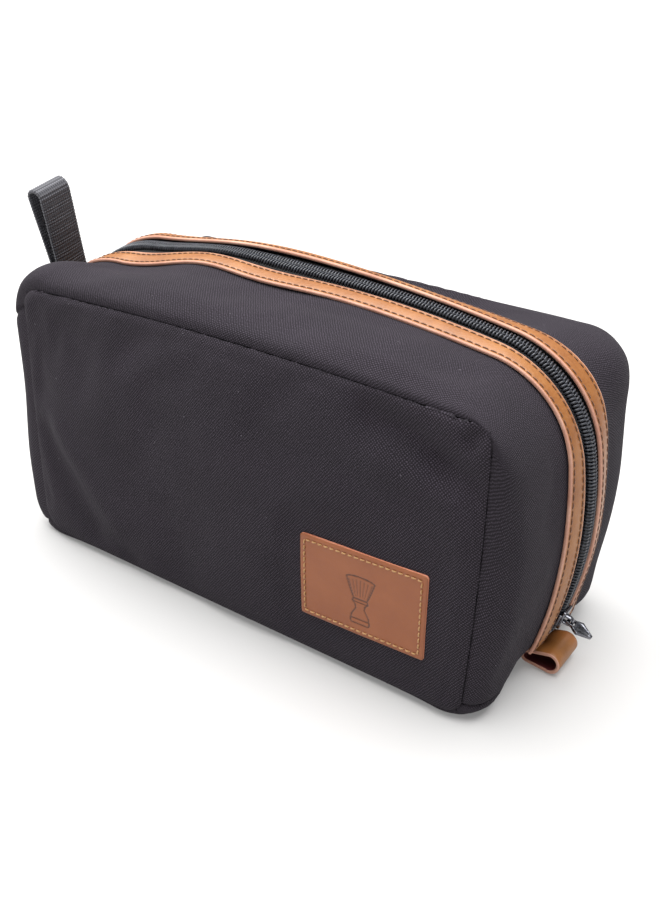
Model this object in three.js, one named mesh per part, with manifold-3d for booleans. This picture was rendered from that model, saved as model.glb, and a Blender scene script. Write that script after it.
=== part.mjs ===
// Zip-top shaving kit bag (dopp kit): canvas shell, leather trims, coil zip and two pull loops.
// Millimetres, +Z up. X runs along the bag, Y from front to back, the bag stands on Z = 0.
import * as THREE from 'three';
import { mergeVertices } from 'three/addons/utils/BufferGeometryUtils.js';
import Module from 'manifold-3d';

// ---- Driving dimensions ----------------------------------------------------------------
const SEAM_Y = 58.7;        // half depth between the front and back seams
const GAP = 0.3;            // clearance between neighbouring pieces
const CANVAS = 1.6;         // canvas wall with its padding
const LINING = 0.8;
const LEATHER = 1.6;
const TAPE = 0.7;           // zip tape
const DOME = 3;             // how far a panel bulges at its middle
const MID_Z = 68;           // height of a panel's middle

// Outline of the front and back seams, and of the bag's crest on its middle plane. Each side
// is an arc named by its outermost point and radius; fillets are br, tr, tl, bl.
const SEAM = {
  right: { x: 121.5, z: 70, r: 1500 },
  top: { x: 0, z: 133.8, r: 2000 },
  left: { x: -120.5, z: 80, r: 1500 },
  base: 3.5,
  fillets: [20, 14, 14, 20],
};
const CREST = {
  right: { x: 140, z: 68, r: 160 },
  top: { x: -25, z: 151.6, r: 690 },
  left: { x: -141, z: 66, r: 200 },
  base: 0,
  fillets: [28.6, 51.5, 50, 24],
};

// How the wall swells between seam and crest, at the eight joins of the outline's segments
// (base, br, right, tr, top, tl, left, bl): squareness, width of flat, share of zip ridge.
const SQUARENESS = [3.2, 3.2, 3.2, 3.2, 3.2, 3.2, 4.6, 4.6, 3.2];
const FLAT_Y = [34, 34, 6, 6, 6, 6, 6, 6, 34];
const RIDGE = [0, 0, 0.26, 0.28, 0.4, 0.4, 0, 0, 0];
const RIDGE_FLAT = 5;
const RIDGE_WIDTH = 28;

// Places along the outline, in segments: where the zip starts, splits and ends.
const BASE_FROM = -0.49;
const ZIP_FROM = 1.82;
const ZIP_SPLIT = 2.32;     // the front half is free to open above this
const ZIP_TO = 6;
const TRIM_TO = 5.85;
const LEFT_TO = 7.49;
const SEAM_GAP = 0.02;

const CANVAS_EDGE_Y = 8;    // where the canvas stops beside the zip
const LINING_EDGE_Y = 16;
const TRIM_Y = [6.5, 12, 17.5];
const TAPE_Y = [1, 15];
const COIL_Y = [1, 3.6];
const COIL_TOP = 1.2;
const STOP_T = 0.035;       // length of a zip stop, in segments

const SLIDER = {
  restDeg: 15.6, length: 10, width: 9, plate: 1.4, outerClear: 0.5, channel: 5.6,
  post: 1.2, postLength: 2.6,
};
const CROWN = { inner: 1.2, outer: 2.3, width: 2, axisHeight: 1.5 };
const PULL = { length: 11.5, width: 7.6, thick: 1.3, eyeFrom: 0.65, eyeTo: 2.9, eyeHalf: 1.5,
  neck: 5.4, dropDeg: 6 };

const HANDLE = { root: [-139.3, -9.5, 109.5], width: 19, length: 64, lean: 13.5, thick: 1.4,
  topR: 5.4, rootR: 1.6 };
const TAB = { root: [130, 9.2], end: [136.8, 7.1], width: 20, thick: 1.6, endR: 5, rootR: 1.8 };
const PATCH = { x: 72.8, z: 43.7, width: 57, height: 38.5, turnDeg: 1.2 };

// ---- Outlines ----------------------------------------------------------------------------
const TAU = 2 * Math.PI;
const mix = (a, b, s) => a + (b - a) * s;

/** Centre of the fillet that touches two big circles from inside, at the right (1) or left (-1). */
function filletCentre(a, b, r, side) {
  const [ax, az] = a.c;
  const [bx, bz] = b.c;
  const d = Math.hypot(bx - ax, bz - az);
  const ra = a.r - r;
  const rb = b.r - r;
  const along = (ra * ra - rb * rb + d * d) / (2 * d);
  const off = Math.sqrt(ra * ra - along * along);
  const ux = (bx - ax) / d;
  const uz = (bz - az) / d;
  const picks = [1, -1].map((s) => [ax + along * ux - s * off * uz, az + along * uz + s * off * ux]);
  return side * picks[0][0] > side * picks[1][0] ? picks[0] : picks[1];
}

/** Centre of the fillet between a side circle and the base line. */
function baseFillet(side, base, r, sign) {
  const z = base + r;
  const dx = Math.sqrt((side.r - r) ** 2 - (z - side.c[1]) ** 2);
  return [side.c[0] + sign * dx, z];
}

/** Turns side arcs and fillets into eight segments, each a function of 0..1. */
function makeOutline({ right, top, left, base, fillets }) {
  const sides = {
    right: { c: [right.x - right.r, right.z], r: right.r },
    top: { c: [top.x, top.z - top.r], r: top.r },
    left: { c: [left.x + left.r, left.z], r: left.r },
  };
  const br = baseFillet(sides.right, base, fillets[0], 1);
  const tr = filletCentre(sides.right, sides.top, fillets[1], 1);
  const tl = filletCentre(sides.top, sides.left, fillets[2], -1);
  const bl = baseFillet(sides.left, base, fillets[3], -1);
  const angle = (from, to) => {
    const a = Math.atan2(to[1] - from[1], to[0] - from[0]);
    return a < -Math.PI / 2 ? a + TAU : a;
  };
  const turns = [-Math.PI / 2, angle(sides.right.c, br), angle(sides.right.c, tr),
    angle(sides.top.c, tr), angle(sides.top.c, tl), angle(sides.left.c, tl),
    angle(sides.left.c, bl), 1.5 * Math.PI];
  const circles = [{ c: br, r: fillets[0] }, sides.right, { c: tr, r: fillets[1] }, sides.top,
    { c: tl, r: fillets[2] }, sides.left, { c: bl, r: fillets[3] }];
  const arcs = circles.map((circle, i) => (s) => {
    const a = mix(turns[i], turns[i + 1], s);
    return [circle.c[0] + circle.r * Math.cos(a), circle.c[1] + circle.r * Math.sin(a)];
  });
  return [(s) => [mix(bl[0], br[0], s), base], ...arcs];
}

const seamOutline = makeOutline(SEAM);
const crestOutline = makeOutline(CREST);

function along(outline, t) {
  const u = ((t % 8) + 8) % 8;
  const k = Math.min(7, Math.floor(u));
  return outline[k](u - k);
}

function keyed(values, t) {
  const u = ((t % 8) + 8) % 8;
  const k = Math.floor(u);
  return mix(values[k], values[k + 1], u - k);
}

// ---- The bag's outer surface ---------------------------------------------------------------
/** Point of the wall at place t along the outline and depth y, before any thickness. */
function wallPoint(t, y) {
  const seam = along(seamOutline, t);
  const crest = along(crestOutline, t);
  const flat = keyed(FLAT_Y, t);
  const n = keyed(SQUARENESS, t);
  const s = Math.min(1, Math.max(0, Math.abs(y) - flat) / (SEAM_Y - flat));
  const swell = (1 - s ** n) ** (1 / n);
  const off = Math.max(0, Math.abs(y) - RIDGE_FLAT) / (RIDGE_WIDTH - RIDGE_FLAT);
  const ridge = Math.max(0, 1 - off);
  const share = keyed(RIDGE, t);
  const g = swell * (1 - share + share * ridge);
  return new THREE.Vector3(mix(seam[0], crest[0], g), y, mix(seam[1], crest[1], g));
}

/** Outward unit normal of the wall. */
function wallNormal(t, y) {
  const dy = 0.3;
  const low = Math.max(-SEAM_Y, y - dy);
  const high = Math.min(SEAM_Y, y + dy);
  const across = wallPoint(t, high).sub(wallPoint(t, low));
  const run = wallPoint(t + 0.01, y).sub(wallPoint(t - 0.01, y));
  return run.cross(across).normalize().negate();
}

function offsetPoint(t, y, offset) {
  return wallPoint(t, y).addScaledVector(wallNormal(t, y), offset);
}

// ---- Closed solids ---------------------------------------------------------------------------
/** Geometry from points and triangles, turned so that its faces point out. */
function solid(points, triangles) {
  let volume = 0;
  for (const [a, b, c] of triangles) {
    volume += points[a].dot(points[b].clone().cross(points[c]));
  }
  const order = volume > 0 ? triangles : triangles.map(([a, b, c]) => [a, c, b]);
  const geometry = new THREE.BufferGeometry();
  geometry.setAttribute('position', new THREE.Float32BufferAttribute(points.flatMap((p) => p.toArray()), 3));
  geometry.setIndex(order.flat());
  geometry.computeVertexNormals();
  return geometry;
}

/** A sheet with thickness: outer and inner are functions of grid place (i, j). */
function slab(rows, columns, outer, inner, closed = false) {
  const points = [];
  const triangles = [];
  const id = (layer, i, j) => (layer * rows + (i % rows)) * columns + j;
  for (const face of [outer, inner]) {
    for (let i = 0; i < rows; i += 1) {
      for (let j = 0; j < columns; j += 1) points.push(face(i, j));
    }
  }
  const quad = (a, b, c, d) => triangles.push([a, b, c], [a, c, d]);
  const spans = closed ? rows : rows - 1;
  for (let i = 0; i < spans; i += 1) {
    for (let j = 0; j < columns - 1; j += 1) {
      quad(id(0, i, j), id(0, i + 1, j), id(0, i + 1, j + 1), id(0, i, j + 1));
      quad(id(1, i, j), id(1, i, j + 1), id(1, i + 1, j + 1), id(1, i + 1, j));
    }
    quad(id(0, i, 0), id(1, i, 0), id(1, i + 1, 0), id(0, i + 1, 0));
    const j = columns - 1;
    quad(id(0, i, j), id(0, i + 1, j), id(1, i + 1, j), id(1, i, j));
  }
  if (!closed) {
    for (let j = 0; j < columns - 1; j += 1) {
      const i = rows - 1;
      quad(id(0, 0, j), id(0, 0, j + 1), id(1, 0, j + 1), id(1, 0, j));
      quad(id(0, i, j), id(1, i, j), id(1, i, j + 1), id(0, i, j + 1));
    }
  }
  return solid(points, triangles);
}

/** Places along the outline from a to b, with even steps inside each segment. */
function stations(a, b) {
  const steps = [5, 5, 6, 6, 9, 6, 5, 5];
  const list = [a];
  for (let k = Math.floor(a); k <= b; k += 1) {
    const n = steps[((k % 8) + 8) % 8];
    for (let i = 0; i < n; i += 1) {
      const t = k + i / n;
      if (t > a + 0.05 && t < b - 0.05) list.push(t);
    }
  }
  return [...list, b];
}

/** A strip of the wall between two offsets from its surface. */
function strip(from, to, depths, innerOffset, outerOffset) {
  const places = stations(from, to);
  return slab(places.length, depths.length,
    (i, j) => offsetPoint(places[i], depths[j], outerOffset),
    (i, j) => offsetPoint(places[i], depths[j], innerOffset));
}

/** A front or back panel: rings drawn in from the outline, domed outwards. */
function panel(side, yNear, thickness, inset, rings) {
  const places = stations(0, 8).slice(0, -1);
  const point = (t, ring, y) => {
    const [x, z] = along(seamOutline, t);
    const reach = Math.hypot(x, z - MID_Z);
    const scale = (1 - inset / reach) * ring;
    const px = x * scale;
    const pz = MID_Z + (z - MID_Z) * scale;
    return new THREE.Vector3(px, side * (y + DOME * domeShare(px, pz)), pz);
  };
  const points = [];
  const triangles = [];
  const n = places.length;
  for (const y of [yNear + thickness, yNear]) {
    for (const ring of rings) for (const t of places) points.push(point(t, ring, y));
    points.push(point(0, 0, y));
  }
  const layer = n * rings.length + 1;
  for (let i = 0; i < n; i += 1) {
    const j = (i + 1) % n;
    for (let k = 0; k < rings.length - 1; k += 1) {
      const [a, b, c, d] = [k * n + i, k * n + j, (k + 1) * n + j, (k + 1) * n + i];
      triangles.push([a, b, c], [a, c, d]);
      triangles.push([a + layer, c + layer, b + layer], [a + layer, d + layer, c + layer]);
    }
    const last = (rings.length - 1) * n;
    triangles.push([last + i, last + j, layer - 1]);
    triangles.push([last + j + layer, last + i + layer, 2 * layer - 1]);
    triangles.push([j, i, i + layer], [j, i + layer, j + layer]);
  }
  return solid(points, triangles);
}

function domeShare(x, z) {
  const across = Math.max(0, 1 - (x / SEAM.right.x) ** 2);
  const up = Math.max(0, 1 - ((z - MID_Z) / (MID_Z - SEAM.base)) ** 2);
  return across * up;
}

/** Bias tape closed round the seam allowance, just inside a seam. */
function seamBinding(side) {
  const places = stations(0, 8).slice(0, -1);
  const size = { near: 1.6, far: 5.2, yOuter: 57.6, yInner: 55.8 };
  const at = (t, inset, y) => {
    const [x, z] = along(seamOutline, t);
    const reach = Math.hypot(x, z - MID_Z);
    const scale = 1 - inset / reach;
    return new THREE.Vector3(x * scale, side * y, MID_Z + (z - MID_Z) * scale);
  };
  const insets = [size.near, size.far];
  return slab(places.length, 2, (i, j) => at(places[i], insets[j], size.yOuter),
    (i, j) => at(places[i], insets[j], size.yInner), true);
}

/** Outline of two circles and their common tangents, as points round the pair. */
function teardrop(big, bigR, small, smallR, steps = 12) {
  const d = Math.hypot(small[0] - big[0], small[1] - big[1]);
  const axis = Math.atan2(small[1] - big[1], small[0] - big[0]);
  const open = Math.acos((bigR - smallR) / d);
  const points = [];
  const arc = (c, r, from, to, n) => {
    for (let i = 0; i <= n; i += 1) {
      const a = mix(from, to, i / n);
      points.push(new THREE.Vector2(c[0] + r * Math.cos(a), c[1] + r * Math.sin(a)));
    }
  };
  arc(big, bigR, axis + open, axis + TAU - open, steps);
  arc(small, smallR, axis - open, axis + open, steps / 3);
  return points;
}

/** A strap doubled back on itself: a teardrop band, as wide as the strap. */
function loopBand(end, endR, root, rootR, thick, width) {
  const shape = new THREE.Shape(teardrop(end, endR, root, rootR));
  const dx = end[0] - root[0];
  const dz = end[1] - root[1];
  const reach = Math.hypot(dx, dz);
  const share = (rootR + thick) / reach;
  const nearRoot = [root[0] + dx * share, root[1] + dz * share];
  const holeR = Math.max(0.3, rootR - thick);
  shape.holes.push(new THREE.Path(teardrop(end, endR - thick, nearRoot, holeR).reverse()));
  return extrudeAcross(shape, width);
}

/** Extrudes an X-Z outline along Y, centred on Y = 0. */
function extrudeAcross(shape, width) {
  const geometry = new THREE.ExtrudeGeometry(shape, { depth: width, bevelEnabled: false, curveSegments: 6 });
  geometry.rotateX(Math.PI / 2);
  geometry.translate(0, width / 2, 0);
  return geometry;
}

// ---- Materials and nodes -------------------------------------------------------------------
const COLOURS = {
  canvas: ['#302d32', 0.9, 0],
  lining: ['#2a2a2c', 0.7, 0],
  leather: ['#c98a50', 0.5, 0],
  patch: ['#9a674a', 0.5, 0],
  tape: ['#17171a', 0.8, 0],
  coil: ['#1c1d20', 0.4, 0],
  webbing: ['#1b1b1e', 0.8, 0],
  binding: ['#1f1f22', 0.8, 0],
  metal: ['#5c5d62', 0.3, 1],
};

const bag = new THREE.Group();

function add(parent, name, finish, geometry) {
  const [color, roughness, metalness] = COLOURS[finish];
  const material = new THREE.MeshStandardMaterial({ color, roughness, metalness });
  const mesh = new THREE.Mesh(geometry, material);
  mesh.name = name;
  parent.add(mesh);
  return mesh;
}

// ---- Canvas shell and lining ---------------------------------------------------------------
const HALF_DEPTHS = [SEAM_Y, 57.5, 55, 49, 38, RIDGE_WIDTH];
const WHOLE_DEPTHS = [...HALF_DEPTHS, 0, ...[...HALF_DEPTHS].reverse().map((y) => -y)];
const LINING_DEPTHS = [SEAM_Y, 56, 48, RIDGE_WIDTH];
const WHOLE_LINING = [...LINING_DEPTHS, 0, ...[...LINING_DEPTHS].reverse().map((y) => -y)];
const LINING_OUT = -(CANVAS + GAP);
const LINING_IN = LINING_OUT - LINING;

function addCanvas(parent, name, from, to, depths) {
  add(parent, name, 'canvas', strip(from, to, depths, -CANVAS, 0));
}

function addLining(parent, name, from, to, depths) {
  add(parent, name, 'lining', strip(from, to, depths, LINING_IN, LINING_OUT));
}

function addPanels() {
  const near = SEAM_Y + GAP;
  for (const [word, side] of [['front', -1], ['back', 1]]) {
    add(bag, `${word}_panel`, 'canvas', panel(side, near, CANVAS, 0, [1, 0.88, 0.66, 0.36]));
    add(bag, `${word}_lining`, 'lining', panel(side, near - GAP - LINING, LINING, 2.5, [1, 0.6]));
    add(bag, `${word}_seam_binding`, 'binding', seamBinding(side));
  }
}

function addShell() {
  const canvasHalf = [...HALF_DEPTHS, LINING_EDGE_Y, CANVAS_EDGE_Y];
  const liningHalf = [...LINING_DEPTHS, LINING_EDGE_Y];
  const front = (list) => list.map((y) => -y);
  const [from, to] = [ZIP_FROM + SEAM_GAP, ZIP_TO - SEAM_GAP];
  addCanvas(bag, 'rear_gusset', from, to, canvasHalf);
  addLining(bag, 'rear_gusset_lining', from, to, liningHalf);
  addCanvas(bag, 'front_gusset', ZIP_SPLIT, to, front(canvasHalf));
  addLining(bag, 'front_gusset_lining', ZIP_SPLIT, to, front(liningHalf));
  addCanvas(bag, 'front_gusset_end', from, ZIP_SPLIT - SEAM_GAP, front(canvasHalf));
  addLining(bag, 'front_lining_end', from, ZIP_SPLIT - SEAM_GAP, front(liningHalf));
  addCanvas(bag, 'base_panel', BASE_FROM, ZIP_FROM, WHOLE_DEPTHS);
  addLining(bag, 'base_lining', BASE_FROM, ZIP_FROM, WHOLE_LINING);
  addCanvas(bag, 'left_end_panel', ZIP_TO + SEAM_GAP, LEFT_TO, WHOLE_DEPTHS);
  addLining(bag, 'left_end_lining', ZIP_TO + SEAM_GAP, LEFT_TO, WHOLE_LINING);
}

// ---- Zip: trims, tapes, coils and stops ------------------------------------------------------
const TAPE_OUT = -(CANVAS + GAP);
const COIL_IN = TAPE_OUT + GAP;

/** One side's trim, tape and coil between two places; suffix tells a lower end from the rest. */
function addZipSide(word, side, from, to, suffix) {
  const trimTo = Math.min(to, TRIM_TO);
  const coilTo = Math.min(to, TRIM_TO - 2 * SEAM_GAP);
  const coilFrom = Math.max(from, ZIP_FROM + SEAM_GAP + 2 * STOP_T);
  const depths = (list) => list.map((y) => side * y);
  add(bag, `${word}_trim${suffix}`, 'leather',
    strip(from, trimTo, depths(TRIM_Y), GAP, GAP + LEATHER));
  add(bag, `${word}_zip_tape${suffix}`, 'tape', strip(from, to, depths(TAPE_Y), TAPE_OUT - TAPE, TAPE_OUT));
  add(bag, `${word}_coil${suffix}`, 'coil', strip(coilFrom, coilTo, depths(COIL_Y), COIL_IN, COIL_TOP));
}

function addZip() {
  const [from, to] = [ZIP_FROM + SEAM_GAP, ZIP_TO - SEAM_GAP];
  addZipSide('rear', 1, from, to, '');
  addZipSide('front', -1, ZIP_SPLIT, to, '');
  addZipSide('front', -1, from, ZIP_SPLIT - SEAM_GAP, '_end');
  const bottom = [from + 0.01, from + 0.01 + STOP_T];
  add(bag, 'zip_bottom_stop', 'metal', strip(...bottom, [-COIL_Y[1], COIL_Y[1]], COIL_IN, COIL_TOP));
  const top = [TRIM_TO - SEAM_GAP, TRIM_TO - SEAM_GAP + STOP_T];
  for (const [word, side] of [['front', -1], ['rear', 1]]) {
    const depths = COIL_Y.map((y) => side * y);
    add(bag, `${word}_top_stop`, 'metal', strip(...top, depths, COIL_IN, COIL_TOP));
  }
}

// ---- Slider, crown and pull ------------------------------------------------------------------
const wasm = await Module();
wasm.setup();

/** Closed geometry as a manifold solid, and back. */
function toManifold(geometry) {
  const bare = geometry.clone();
  bare.deleteAttribute('normal');
  bare.deleteAttribute('uv');
  const merged = mergeVertices(bare, 1e-4);
  const mesh = { numProp: 3, vertProperties: merged.attributes.position.array,
    triVerts: new Uint32Array(merged.index.array) };
  return new wasm.Manifold(new wasm.Mesh(mesh));
}

function fromManifold(body) {
  const mesh = body.getMesh();
  const geometry = new THREE.BufferGeometry();
  geometry.setAttribute('position', new THREE.Float32BufferAttribute(mesh.vertProperties, 3));
  geometry.setIndex([...mesh.triVerts]);
  geometry.computeVertexNormals();
  return geometry;
}

/** Outline points as a shape in the X-Z plane. */
function shapeOf(points) {
  return new THREE.Shape(points.map(([x, z]) => new THREE.Vector2(x, z)));
}

/** A flat plate of the slider: its outline across the zip, from depth x0 to x1. */
function sliderPlate(x0, x1) {
  const half = SLIDER.length / 2;
  const wide = SLIDER.width / 2;
  const nose = wide - 1.6;
  const outline = [[-nose, -half], [nose, -half], [wide, -half + 2.4], [wide, half - 2],
    [nose, half], [-nose, half], [-wide, half - 2], [-wide, -half + 2.4]];
  const shape = new THREE.Shape(outline.map(([y, z]) => new THREE.Vector2(y, z)));
  const geometry = new THREE.ExtrudeGeometry(shape, { depth: x1 - x0, bevelEnabled: false });
  geometry.rotateX(Math.PI / 2);
  geometry.rotateZ(Math.PI / 2);
  geometry.translate(x0, 0, 0);
  return geometry;
}

/** Slider body: an outer and an inner plate joined by the post that parts the coils. */
function sliderBody(outer) {
  const half = SLIDER.length / 2;
  const inner = outer - SLIDER.channel;
  const post = new THREE.BoxGeometry(SLIDER.channel + SLIDER.plate, SLIDER.post, SLIDER.postLength);
  post.translate((inner + outer) / 2, 0, half - SLIDER.postLength / 2 - 0.8);
  const top = toManifold(sliderPlate(outer, outer + SLIDER.plate));
  const under = toManifold(sliderPlate(inner - SLIDER.plate, inner));
  return fromManifold(top.add(under).add(toManifold(post)));
}

/** Crown: a small arch over the slider that the pull hangs on. */
function sliderCrown(foot) {
  const shape = new THREE.Shape();
  const { inner, outer, axisHeight } = CROWN;
  shape.moveTo(foot, -outer);
  shape.lineTo(foot + axisHeight, -outer);
  shape.absarc(foot + axisHeight, 0, outer, -Math.PI / 2, Math.PI / 2, false);
  shape.lineTo(foot, outer);
  shape.lineTo(foot, inner);
  shape.lineTo(foot + axisHeight, inner);
  shape.absarc(foot + axisHeight, 0, inner, Math.PI / 2, -Math.PI / 2, true);
  shape.lineTo(foot, -inner);
  shape.closePath();
  return extrudeAcross(shape, CROWN.width);
}

/** Pull tab: a kite-shaped plate with an eye, lying along +X from its hinge. */
function pullTab() {
  const wide = PULL.width / 2;
  const neck = PULL.neck / 2;
  const outline = [[-PULL.eyeFrom, -neck], [PULL.eyeTo, -neck], [PULL.eyeTo + 2.6, -wide],
    [PULL.length, -0.9], [PULL.length, 0.9], [PULL.eyeTo + 2.6, wide], [PULL.eyeTo, neck],
    [-PULL.eyeFrom, neck]];
  const shape = shapeOf(outline);
  const eye = [[PULL.eyeFrom, -PULL.eyeHalf], [PULL.eyeFrom, PULL.eyeHalf],
    [PULL.eyeTo, PULL.eyeHalf], [PULL.eyeTo, -PULL.eyeHalf]];
  shape.holes.push(new THREE.Path(eye.map(([x, y]) => new THREE.Vector2(x, y))));
  const geometry = new THREE.ExtrudeGeometry(shape, { depth: PULL.thick, bevelEnabled: false });
  geometry.translate(0, 0, -PULL.thick / 2);
  return geometry;
}

function addSlider() {
  const [cx, cz] = [CREST.right.x - CREST.right.r, CREST.right.z];
  const turn = new THREE.Group();
  turn.position.set(cx, 0, cz);
  turn.rotation.y = THREE.MathUtils.degToRad(SLIDER.restDeg);
  bag.add(turn);
  const outer = CREST.right.r + COIL_TOP + SLIDER.outerClear;
  const foot = outer + SLIDER.plate + GAP;
  add(turn, 'slider_body', 'metal', sliderBody(outer));
  add(turn, 'slider_crown', 'metal', sliderCrown(foot));
  const hang = new THREE.Group();
  hang.position.set(foot + CROWN.axisHeight, 0, 0);
  hang.rotation.y = THREE.MathUtils.degToRad(PULL.dropDeg);
  turn.add(hang);
  add(hang, 'pull_tab', 'metal', pullTab());
}

// ---- Loops and patch -------------------------------------------------------------------------
function addHandleLoop() {
  const { root, width, length, lean, thick, topR, rootR } = HANDLE;
  const stand = new THREE.Group();
  stand.position.set(...root);
  stand.rotation.x = THREE.MathUtils.degToRad(lean);
  bag.add(stand);
  const top = [0, length - topR];
  add(stand, 'handle_loop', 'webbing', loopBand(top, topR, [0, 0], rootR, thick, width));
}

function addTabLoop() {
  const { root, end, width, thick, endR, rootR } = TAB;
  add(bag, 'tab_loop', 'leather', loopBand(end, endR, root, rootR, thick, width));
}

/** Leather patch that follows the front panel's dome. */
function addPatch() {
  const [columns, rows] = [8, 6];
  const turn = THREE.MathUtils.degToRad(PATCH.turnDeg);
  const near = SEAM_Y + 2 * GAP + CANVAS;
  const point = (i, j, y) => {
    const u = (i / (rows - 1) - 0.5) * PATCH.height;
    const v = (j / (columns - 1) - 0.5) * PATCH.width;
    const x = PATCH.x + v * Math.cos(turn) - u * Math.sin(turn);
    const z = PATCH.z + v * Math.sin(turn) + u * Math.cos(turn);
    return new THREE.Vector3(x, -(y + DOME * domeShare(x, z)), z);
  };
  add(bag, 'patch', 'patch', slab(rows, columns, (i, j) => point(i, j, near + LEATHER),
    (i, j) => point(i, j, near)));
}

addPanels();
addShell();
addZip();
addSlider();
addHandleLoop();
addTabLoop();
addPatch();

export default bag;
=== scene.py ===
"""Looks of a zip-top canvas shaving kit bag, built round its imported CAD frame.

Lengths inside the classes are millimetres, as on a maker's drawing; meshes are made in metres.
X runs along the bag, Y from front to back, and the bag stands on Z = 0.
"""
import logging
import math
from dataclasses import dataclass, field
from enum import Enum
from typing import Callable, Iterable, Sequence

import bpy
import numpy as np
from mathutils import Matrix


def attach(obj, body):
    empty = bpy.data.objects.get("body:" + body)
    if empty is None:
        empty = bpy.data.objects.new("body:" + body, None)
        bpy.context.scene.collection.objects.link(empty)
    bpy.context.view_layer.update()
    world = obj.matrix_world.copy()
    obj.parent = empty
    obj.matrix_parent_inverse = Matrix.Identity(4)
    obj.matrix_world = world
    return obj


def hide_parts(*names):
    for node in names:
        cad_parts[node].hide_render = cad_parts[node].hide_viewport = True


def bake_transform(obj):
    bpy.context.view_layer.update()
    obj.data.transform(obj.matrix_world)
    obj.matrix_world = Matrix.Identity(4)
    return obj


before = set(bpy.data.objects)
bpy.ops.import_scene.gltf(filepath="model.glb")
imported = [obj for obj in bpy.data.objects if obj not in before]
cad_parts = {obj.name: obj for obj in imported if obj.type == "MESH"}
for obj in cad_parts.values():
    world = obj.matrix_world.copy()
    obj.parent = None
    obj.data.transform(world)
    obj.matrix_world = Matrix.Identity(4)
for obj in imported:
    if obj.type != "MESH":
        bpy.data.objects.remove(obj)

LOG = logging.getLogger("kit_bag")
MM = 0.001
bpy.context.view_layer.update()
SEGMENTS = 8
TUBE_SIDES = 6
SETTLE_FRAMES = 16
Array = np.ndarray


class Side(Enum):
    """Which half of the bag a piece belongs to."""

    FRONT = -1
    BACK = 1


# ---- Wall: the bag's outer surface ------------------------------------------------------------


@dataclass(frozen=True)
class Bow:
    """One bowed side of an outline: its outermost point and its radius."""

    x: float
    z: float
    r: float


class Outline:
    """Closed X-Z outline of three bowed sides, a straight base and four fillets."""

    def __init__(self, right: Bow, top: Bow, left: Bow, base: float, fillets: Sequence[float]):
        """Works out each segment's arc.

        Args:
            right, top, left: the bowed sides.
            base: height of the straight underside.
            fillets: corner radii at bottom right, top right, top left and bottom left.
        """
        self.base = base
        sides = [(right.x - right.r, right.z, right.r), (top.x, top.z - top.r, top.r),
                 (left.x + left.r, left.z, left.r)]
        br = self._base_fillet(sides[0], fillets[0], 1)
        tr = self._fillet(sides[0], sides[1], fillets[1], 1)
        tl = self._fillet(sides[1], sides[2], fillets[2], -1)
        bl = self._base_fillet(sides[2], fillets[3], -1)
        turns = [-math.pi / 2, self._angle(sides[0], br), self._angle(sides[0], tr),
                 self._angle(sides[1], tr), self._angle(sides[1], tl), self._angle(sides[2], tl),
                 self._angle(sides[2], bl), 1.5 * math.pi]
        arcs = [br, sides[0], tr, sides[1], tl, sides[2], bl]
        self.centre = np.array([(bl[0], br[0])] + [a[:2] for a in arcs])
        self.radius = np.array([0.0] + [a[2] for a in arcs])
        self.start = np.array([0.0] + turns[:-1])
        self.stop = np.array([0.0] + turns[1:])

    @staticmethod
    def _angle(side: tuple, corner: tuple) -> float:
        """Direction from a side's centre to a corner's, from -90 to 270 degrees."""
        a = math.atan2(corner[1] - side[1], corner[0] - side[0])
        return a + 2 * math.pi if a < -math.pi / 2 else a

    def _base_fillet(self, side: tuple, r: float, sign: int) -> tuple:
        """Fillet between a side and the base line."""
        z = self.base + r
        dx = math.sqrt((side[2] - r) ** 2 - (z - side[1]) ** 2)
        return (side[0] + sign * dx, z, r)

    @staticmethod
    def _fillet(a: tuple, b: tuple, r: float, sign: int) -> tuple:
        """Fillet that touches two sides from inside, at the right (1) or left (-1)."""
        d = math.hypot(b[0] - a[0], b[1] - a[1])
        ra, rb = a[2] - r, b[2] - r
        run = (ra * ra - rb * rb + d * d) / (2 * d)
        off = math.sqrt(ra * ra - run * run)
        ux, uz = (b[0] - a[0]) / d, (b[1] - a[1]) / d
        picks = [(a[0] + run * ux - s * off * uz, a[1] + run * uz + s * off * ux, r) for s in (1, -1)]
        return max(picks, key=lambda p: sign * p[0])

    def point(self, t: Array) -> Array:
        """X and Z at places t, counted in segments from the base's left end."""
        u = np.mod(t, SEGMENTS)
        k = np.minimum(u.astype(int), SEGMENTS - 1)
        s = u - k
        a = self.start[k] + (self.stop[k] - self.start[k]) * s
        x = self.centre[k, 0] + self.radius[k] * np.cos(a)
        z = self.centre[k, 1] + self.radius[k] * np.sin(a)
        flat = k == 0
        x = np.where(flat, self.centre[0, 0] + (self.centre[0, 1] - self.centre[0, 0]) * s, x)
        return np.stack([x, np.where(flat, self.base, z)], -1)


@dataclass(frozen=True)
class Ripple:
    """A soft swelling or dent of the wall: where it is, how far it spreads and how it moves the wall."""

    at: tuple
    spread: tuple
    push: tuple


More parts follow.
